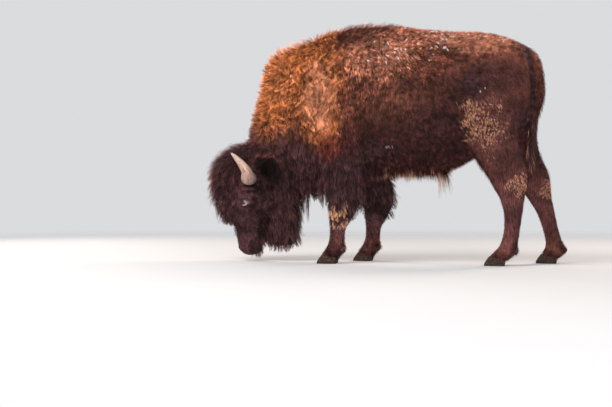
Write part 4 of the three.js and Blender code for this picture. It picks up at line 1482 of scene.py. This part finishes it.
def spines(plan, reach, lift, turn, stations):
    """The line that each lock follows: up from the skin, then along it, with a wave."""
    share = np.linspace(0, 1, stations)
    angle = lift[:, None] * (STEEP - FLATTENING * (share[1:] + share[:-1]) / 2)
    step = reach[:, None] * np.diff(share)
    along, above = (
        np.pad(np.cumsum(part * step, axis=1), ((0, 0), (1, 0)))
        for part in (np.cos(angle), np.sin(angle))
    )
    normal, lie = plan["normal"][:, None], plan["lie"][:, None]
    phase = (turn[:, None] + share * WAVE_TURNS) * TURN
    wave = (plan["curl"] * reach)[:, None] * share * WAVE_WIDTH
    line = (
        plan["root"][:, None] + lie * along[..., None]
        + normal * (above + wave * 0.5 * np.cos(phase))[..., None]
        + np.cross(normal, lie) * (wave * np.sin(phase))[..., None]
    )
    line[:, 0] -= plan["normal"] * ROOT_SUNK
    return line


def clumped(plan, stations):
    """The lock that leads each one's clump, and how far each station is drawn to its leader's."""
    chance, root = plan["chance"], plan["root"]
    leaders = np.flatnonzero(chance[:, 2] < plan["leaders"])
    tree = KDTree(len(leaders))
    for i, leader in enumerate(leaders):
        tree.insert(root[leader], i)
    tree.balance()
    led = leaders[np.array([tree.find(place)[1] for place in root])]
    held = np.where(chance[:, 3] < STRAY_SHARE, 0.3, 0.7 + 0.3 * chance[:, 3])
    near = fade(np.linalg.norm(root - root[led], axis=1), *CLUMP_REACH)
    pull = (plan["clump"] * held * near)[:, None] * np.linspace(0, 1, stations) ** 1.4
    return led, pull[..., None]


def beyond_outline(point):
    """How far a point lies outside the tips of the coat, or below 0 how far inside."""
    near, facing, _, away = Skin.outline.find_nearest(point)
    return away if (Vector(point) - near).dot(facing) >= 0 else -away


def grown(plan, stations):
    """The spines of some locks, gathered into clumps and trimmed to the outline, and their leaders."""
    chance, depth, wild, reach = plan["chance"], plan["depth"], plan["wild"], plan["length"]
    led, pull = clumped(plan, stations)

    # How far a lock stands off the skin, and how far its tip may leave the outline. Loose clumps
    # have some distance to spare, and the other locks end at different depths in the coat.
    spare = plan["loose"] * (0.25 + 0.75 * chance[led, 0] ** 2)
    stand = depth * (0.55 + 0.55 * chance[:, 0] + wild * (chance[:, 1] - 0.35)) + spare * 0.7
    lift = np.arcsin(np.clip(stand / reach, 0.06, 0.9)) + plan["stand"]
    slack = depth * (-0.6 + chance[:, 1] * (0.7 + 0.35 * wild)) + 0.002
    slack += spare * (0.5 + 0.5 * chance[:, 0])

    for _ in range(TRIMS):
        line = spines(plan, reach, lift, chance[led, 3], stations)
        line = line + (line[led] - line) * pull
        line[..., 2] = np.maximum(line[..., 2], FLOOR_GAP)
        over = np.array([beyond_outline(tip) for tip in line[:, -1]]) > slack
        if not over.any():
            break
        lift = np.where(over, lift * LOWERED, lift)
        reach = np.where(over, reach * SHORTENED, reach)
    return line, led


ROOTS_LOOKED_UP, MAP_FACES = 9000, 2500  # at most, for the skin under one piece


def skin_under(roots):
    """A light mesh of the skin round some roots."""
    touched = np.zeros(len(Skin.faces), bool)
    some = roots[:: max(1, len(roots) // ROOTS_LOOKED_UP)]
    touched[[Skin.tree.find_nearest(root)[2] for root in some]] = True
    reached = np.zeros(len(Skin.points), bool)
    for _ in range(4):
        reached[Skin.faces[touched]] = True
        touched = reached[Skin.faces].any(axis=1)
    used, index = np.unique(Skin.faces[touched], return_inverse=True)
    part = mesh_of("under", Skin.points[used], index.reshape(-1, 3))
    return modified(part, ("DECIMATE", {"ratio": min(1.0, MAP_FACES / touched.sum())}))


def flattened(mesh):
    """Unwraps a mesh: gives its points, its triangles and where their corners lie on the map."""
    holder = bpy.data.objects.new("under", mesh)
    bpy.context.scene.collection.objects.link(holder)
    bpy.context.view_layer.objects.active = holder
    holder.select_set(True)
    bpy.ops.object.mode_set(mode="EDIT")
    bpy.ops.mesh.select_all(action="SELECT")
    bpy.ops.uv.smart_project(angle_limit=1.15, island_margin=0.012)
    bpy.ops.object.mode_set(mode="OBJECT")
    on_map = np.empty((len(mesh.loops), 2), "f")
    mesh.uv_layers.active.data.foreach_get("uv", on_map.ravel())
    faces = np.array([tuple(polygon.vertices)[:3] for polygon in mesh.polygons])
    starts = np.array([polygon.loop_start for polygon in mesh.polygons])
    points = np.empty((len(mesh.vertices), 3), "f")
    mesh.vertices.foreach_get("co", points.ravel())
    bpy.data.objects.remove(holder)
    return points, faces, on_map[starts[:, None] + np.arange(3)]


def unwrapped(roots):
    """Each root's place on an unwrap of the skin's own shape under the piece."""
    points, faces, on_map = flattened(skin_under(roots))
    tree = BVHTree.FromPolygons(points.tolist(), faces.tolist())
    near, _, face, _ = zip(*(tree.find_nearest(root) for root in roots))
    near, face = np.array(near), np.array(face)
    a, b, c = (points[faces[face, i]] for i in range(3))
    whole = np.cross(b - a, c - a)
    size = np.maximum((whole**2).sum(axis=1), 1e-18)
    to_b = np.einsum("ij,ij->i", np.cross(near - a, c - a), whole) / size
    to_c = np.einsum("ij,ij->i", np.cross(b - a, near - a), whole) / size
    share = np.clip(np.stack([1 - to_b - to_c, to_b, to_c], axis=1), 0, 1)
    return (on_map[face] * share[..., None]).sum(axis=1)


def dappled(points, size):
    """A soft uneven dapple between 0 and 1, with spots of about that size."""
    x, y, z = points.T * (TURN / size)
    wave = np.sin(x + 1.7 * np.sin(z * 0.63 + y * 0.4)) * np.sin(z + 1.9 * np.sin(x * 0.71 - y * 0.3))
    return 0.5 + 0.5 * wave


def speckled(plan, led):
    """Which locks turn to straw by chance, and on which clumps the tips are frosted."""
    root, luck = plan["root"], plan["chance"]
    stray = np.stack([dappled(root, size) - 0.5 for size in (0.19, 0.31, 0.14)], axis=1)
    straw = marks_at(root + stray * STRAW_STRAY)["straw"]
    odds = straw * STRAW_SHARE * (0.25 + 1.15 * dappled(root, 0.052))
    frosted = marks_at(root)["snow"] * FROST_SHARE * (0.4 + 1.2 * dappled(root, 0.11))
    return {
        "straw_lock": ramp(odds - luck[led, 3] * 0.45 - luck[:, 0] * 0.45, 0, 0.42),
        "snow_lock": (luck[led, 1] < frosted) * 1.0,
    }


def halves(plan, name):
    """The locks of a piece, split into left and right where the piece is. Gives ending and locks."""
    whole = plan["piece"] == sorted(PIECES).index(name)
    if not PIECES[name].split:
        return (("", np.flatnonzero(whole)),)
    left = plan["root"][:, 1] < 0
    return ("_left", np.flatnonzero(whole & left)), ("_right", np.flatnonzero(whole & ~left))


def coat_mesh(name, plan, rings):
    """The locks of one piece, with their fields and their places on the map."""
    line, led = grown(plan, rings + 1)
    chosen = speckled(plan, led)
    wide = plan["width"] * (1 + 0.25 * chosen["straw_lock"])
    points, faces, fields, spot = locks(line, plan["normal"], wide)
    each = rings * 3 + 1
    tone = plan["tone"][led] * 0.75 + plan["tone"] * 0.4
    shared = {
        **marks_at(plan["root"]), **chosen, **hair_kinds(plan["length"] / MM), "tone": tone,
    }
    fields |= {key: np.repeat(values, each) for key, values in shared.items()}
    mesh = mesh_of(name, points, faces, fields)
    place = np.repeat(unwrapped(plan["root"]), each, axis=0) + spot
    layer = mesh.uv_layers.new(name="OFBake")
    layer.data.foreach_set("uv", place[faces.ravel()].astype("f").ravel())
    return mesh


def make_coat():
    """The coat, in pieces that follow the parts of the body."""
    plan = plan_coat()
    finish = finished("coat_hair", coat_finish)
    for name in sorted(PIECES):
        for half, chosen in halves(plan, name):
            piece, rings = f"coat_{name}{half}", PIECES[name].rings
            triangles = len(chosen) * triangles_of(name)
            print(piece, len(chosen), "locks", triangles, "triangles")
            if triangles > MOST_TRIANGLES:
                raise RuntimeError(f"{piece} has {triangles} triangles")
            part = {key: values[chosen] for key, values in plan.items()}
            show(piece, coat_mesh(piece, part, rings), finish)


# ---------------------------------------------------------------- the stage

CAMERA = Vector((0.839, -6.473, 0.435))
CAMERA_TURN = (math.radians(90 - 0.215), 0, math.radians(12))
SENSOR = 36.0  # millimetres across
FLOOR_HALF = 16.0
FLOOR_FADE = (1.8, 8.0)  # the floor gives way to the surroundings between these distances


class Lamp(NamedTuple):
    """A round lamp of the studio."""

    name: str
    place: tuple
    aim: tuple
    size: float
    tint: tuple


LAMPS = (
    Lamp("key", (-3.0, -3.6, 4.8), (-0.1, 0, 0.95), 3.6, (1.0, 0.96, 0.91)),
    Lamp("fill", (1.6, -6.4, 1.5), (0, 0, 0.6), 4.0, (0.97, 0.98, 1.0)),
    Lamp("rim", (3.6, 3.2, 3.6), (-0.1, 0, 0.95), 2.4, (1.0, 0.84, 0.68)),
    Lamp("halo", (-4.6, 2.6, 2.4), (-1.1, 0, 0.7), 2.4, (1.0, 0.88, 0.8)),
)


def light_up(lamp, power):
    """Puts a lamp in the scene."""
    light = bpy.data.lights.new(lamp.name, "AREA")
    light.shape, light.size, light.energy, light.color = "DISK", lamp.size, power, lamp.tint
    stand = bpy.data.objects.new(lamp.name, light)
    stand.location = lamp.place
    towards = Vector(lamp.aim) - Vector(lamp.place)
    stand.rotation_euler = towards.to_track_quat("-Z", "Y").to_euler()
    bpy.context.scene.collection.objects.link(stand)


def make_floor(tint):
    """A pale floor that gives way to the surroundings far from the animal."""
    half = FLOOR_HALF
    corners = [(-half, -half, 0), (half, -half, 0), (half, half, 0), (-half, half, 0)]
    floor = mesh_of("floor", corners, [(0, 1, 2, 3)])
    finish = Finish("studio_floor")
    floor.materials.append(finish.surface({
        "Base Color": finish.noise(3, 2).mix(tuple(tint), tuple(c * 0.97 for c in tint)),
        "Roughness": 0.85,
        "Alpha": 1 - finish.place().length().step(*FLOOR_FADE),
    }))
    ground = bpy.data.objects.new("floor", floor)
    bpy.context.scene.collection.objects.link(ground)


def make_stage():
    """The floor, the surroundings, the lamps and the camera."""
    scene, stage = bpy.context.scene, bpy.context.scene.bison_stage
    make_floor(stage.floor)
    scene.world = bpy.data.worlds.new("surroundings")
    scene.world.use_nodes = True
    sky = scene.world.node_tree.nodes["Background"]
    sky.inputs["Color"].default_value = (*stage.sky, 1)
    sky.inputs["Strength"].default_value = stage.sky_strength
    for lamp in LAMPS:
        light_up(lamp, getattr(stage, lamp.name))
    scene.view_settings.view_transform = "Standard"

    lens = bpy.data.cameras.new("camera")
    lens.lens, lens.sensor_width = stage.lens, SENSOR
    lens.clip_start, lens.clip_end = 0.05, 200
    camera = bpy.data.objects.new("camera", lens)
    camera.location, camera.rotation_euler = CAMERA, CAMERA_TURN
    scene.collection.objects.link(camera)
    scene.camera = camera


# ---------------------------------------------------------------- operators and panel


class BISON_OT_skin(bpy.types.Operator):
    """Make the skin from the flesh of the frame"""

    bl_idname = "bison.skin"
    bl_label = "Skin"

    def execute(self, context):
        make_skin()
        return {"FINISHED"}


class BISON_OT_eyes(bpy.types.Operator):
    """Make the eyeballs, eyelids and lashes"""

    bl_idname = "bison.eyes"
    bl_label = "Eyes"

    def execute(self, context):
        make_eyes()
        make_lids()
        return {"FINISHED"}


class BISON_OT_horns(bpy.types.Operator):
    """Make the horns"""

    bl_idname = "bison.horns"
    bl_label = "Horns"

    def execute(self, context):
        make_horns()
        return {"FINISHED"}


class BISON_OT_claws(bpy.types.Operator):
    """Make the claws of all four feet"""

    bl_idname = "bison.claws"
    bl_label = "Claws"

    def execute(self, context):
        make_claws()
        return {"FINISHED"}


class BISON_OT_coat(bpy.types.Operator):
    """Grow the coat on the skin"""

    bl_idname = "bison.coat"
    bl_label = "Coat"

    def execute(self, context):
        make_coat()
        return {"FINISHED"}


class BISON_OT_stage(bpy.types.Operator):
    """Make the floor, the lights and the camera"""

    bl_idname = "bison.stage"
    bl_label = "Stage"

    def execute(self, context):
        make_stage()
        return {"FINISHED"}


OPERATORS = (
    BISON_OT_skin, BISON_OT_eyes, BISON_OT_horns, BISON_OT_claws, BISON_OT_coat, BISON_OT_stage,
)


class BISON_PT_panel(bpy.types.Panel):
    """Lists what the bison is made of"""

    bl_label = "Bison"
    bl_space_type = "VIEW_3D"
    bl_region_type = "UI"
    bl_category = "Bison"

    def draw(self, context):
        for operator in OPERATORS:
            self.layout.operator(operator.bl_idname)
        for group in GROUPS:
            box = self.layout.box()
            box.label(text=group[0].split("_")[1].title())
            for key in group[1].__annotations__:
                box.prop(getattr(context.scene, group[0]), key)


GROUPS = (("bison_colours", BisonColours), ("bison_sizes", BisonSizes), ("bison_stage", BisonStage))
CLASSES = (*(group for _, group in GROUPS), *OPERATORS, BISON_PT_panel)


def register():
    for cls in CLASSES:
        bpy.utils.register_class(cls)
    for name, group in GROUPS:
        setattr(bpy.types.Scene, name, PointerProperty(type=group))


def unregister():
    for name, _ in GROUPS:
        delattr(bpy.types.Scene, name)
    for cls in reversed(CLASSES):
        bpy.utils.unregister_class(cls)


def main():
    register()
    for operator in OPERATORS:
        getattr(bpy.ops.bison, operator.bl_idname.split(".")[1])()
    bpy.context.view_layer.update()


if __name__ == "__main__":
    main()
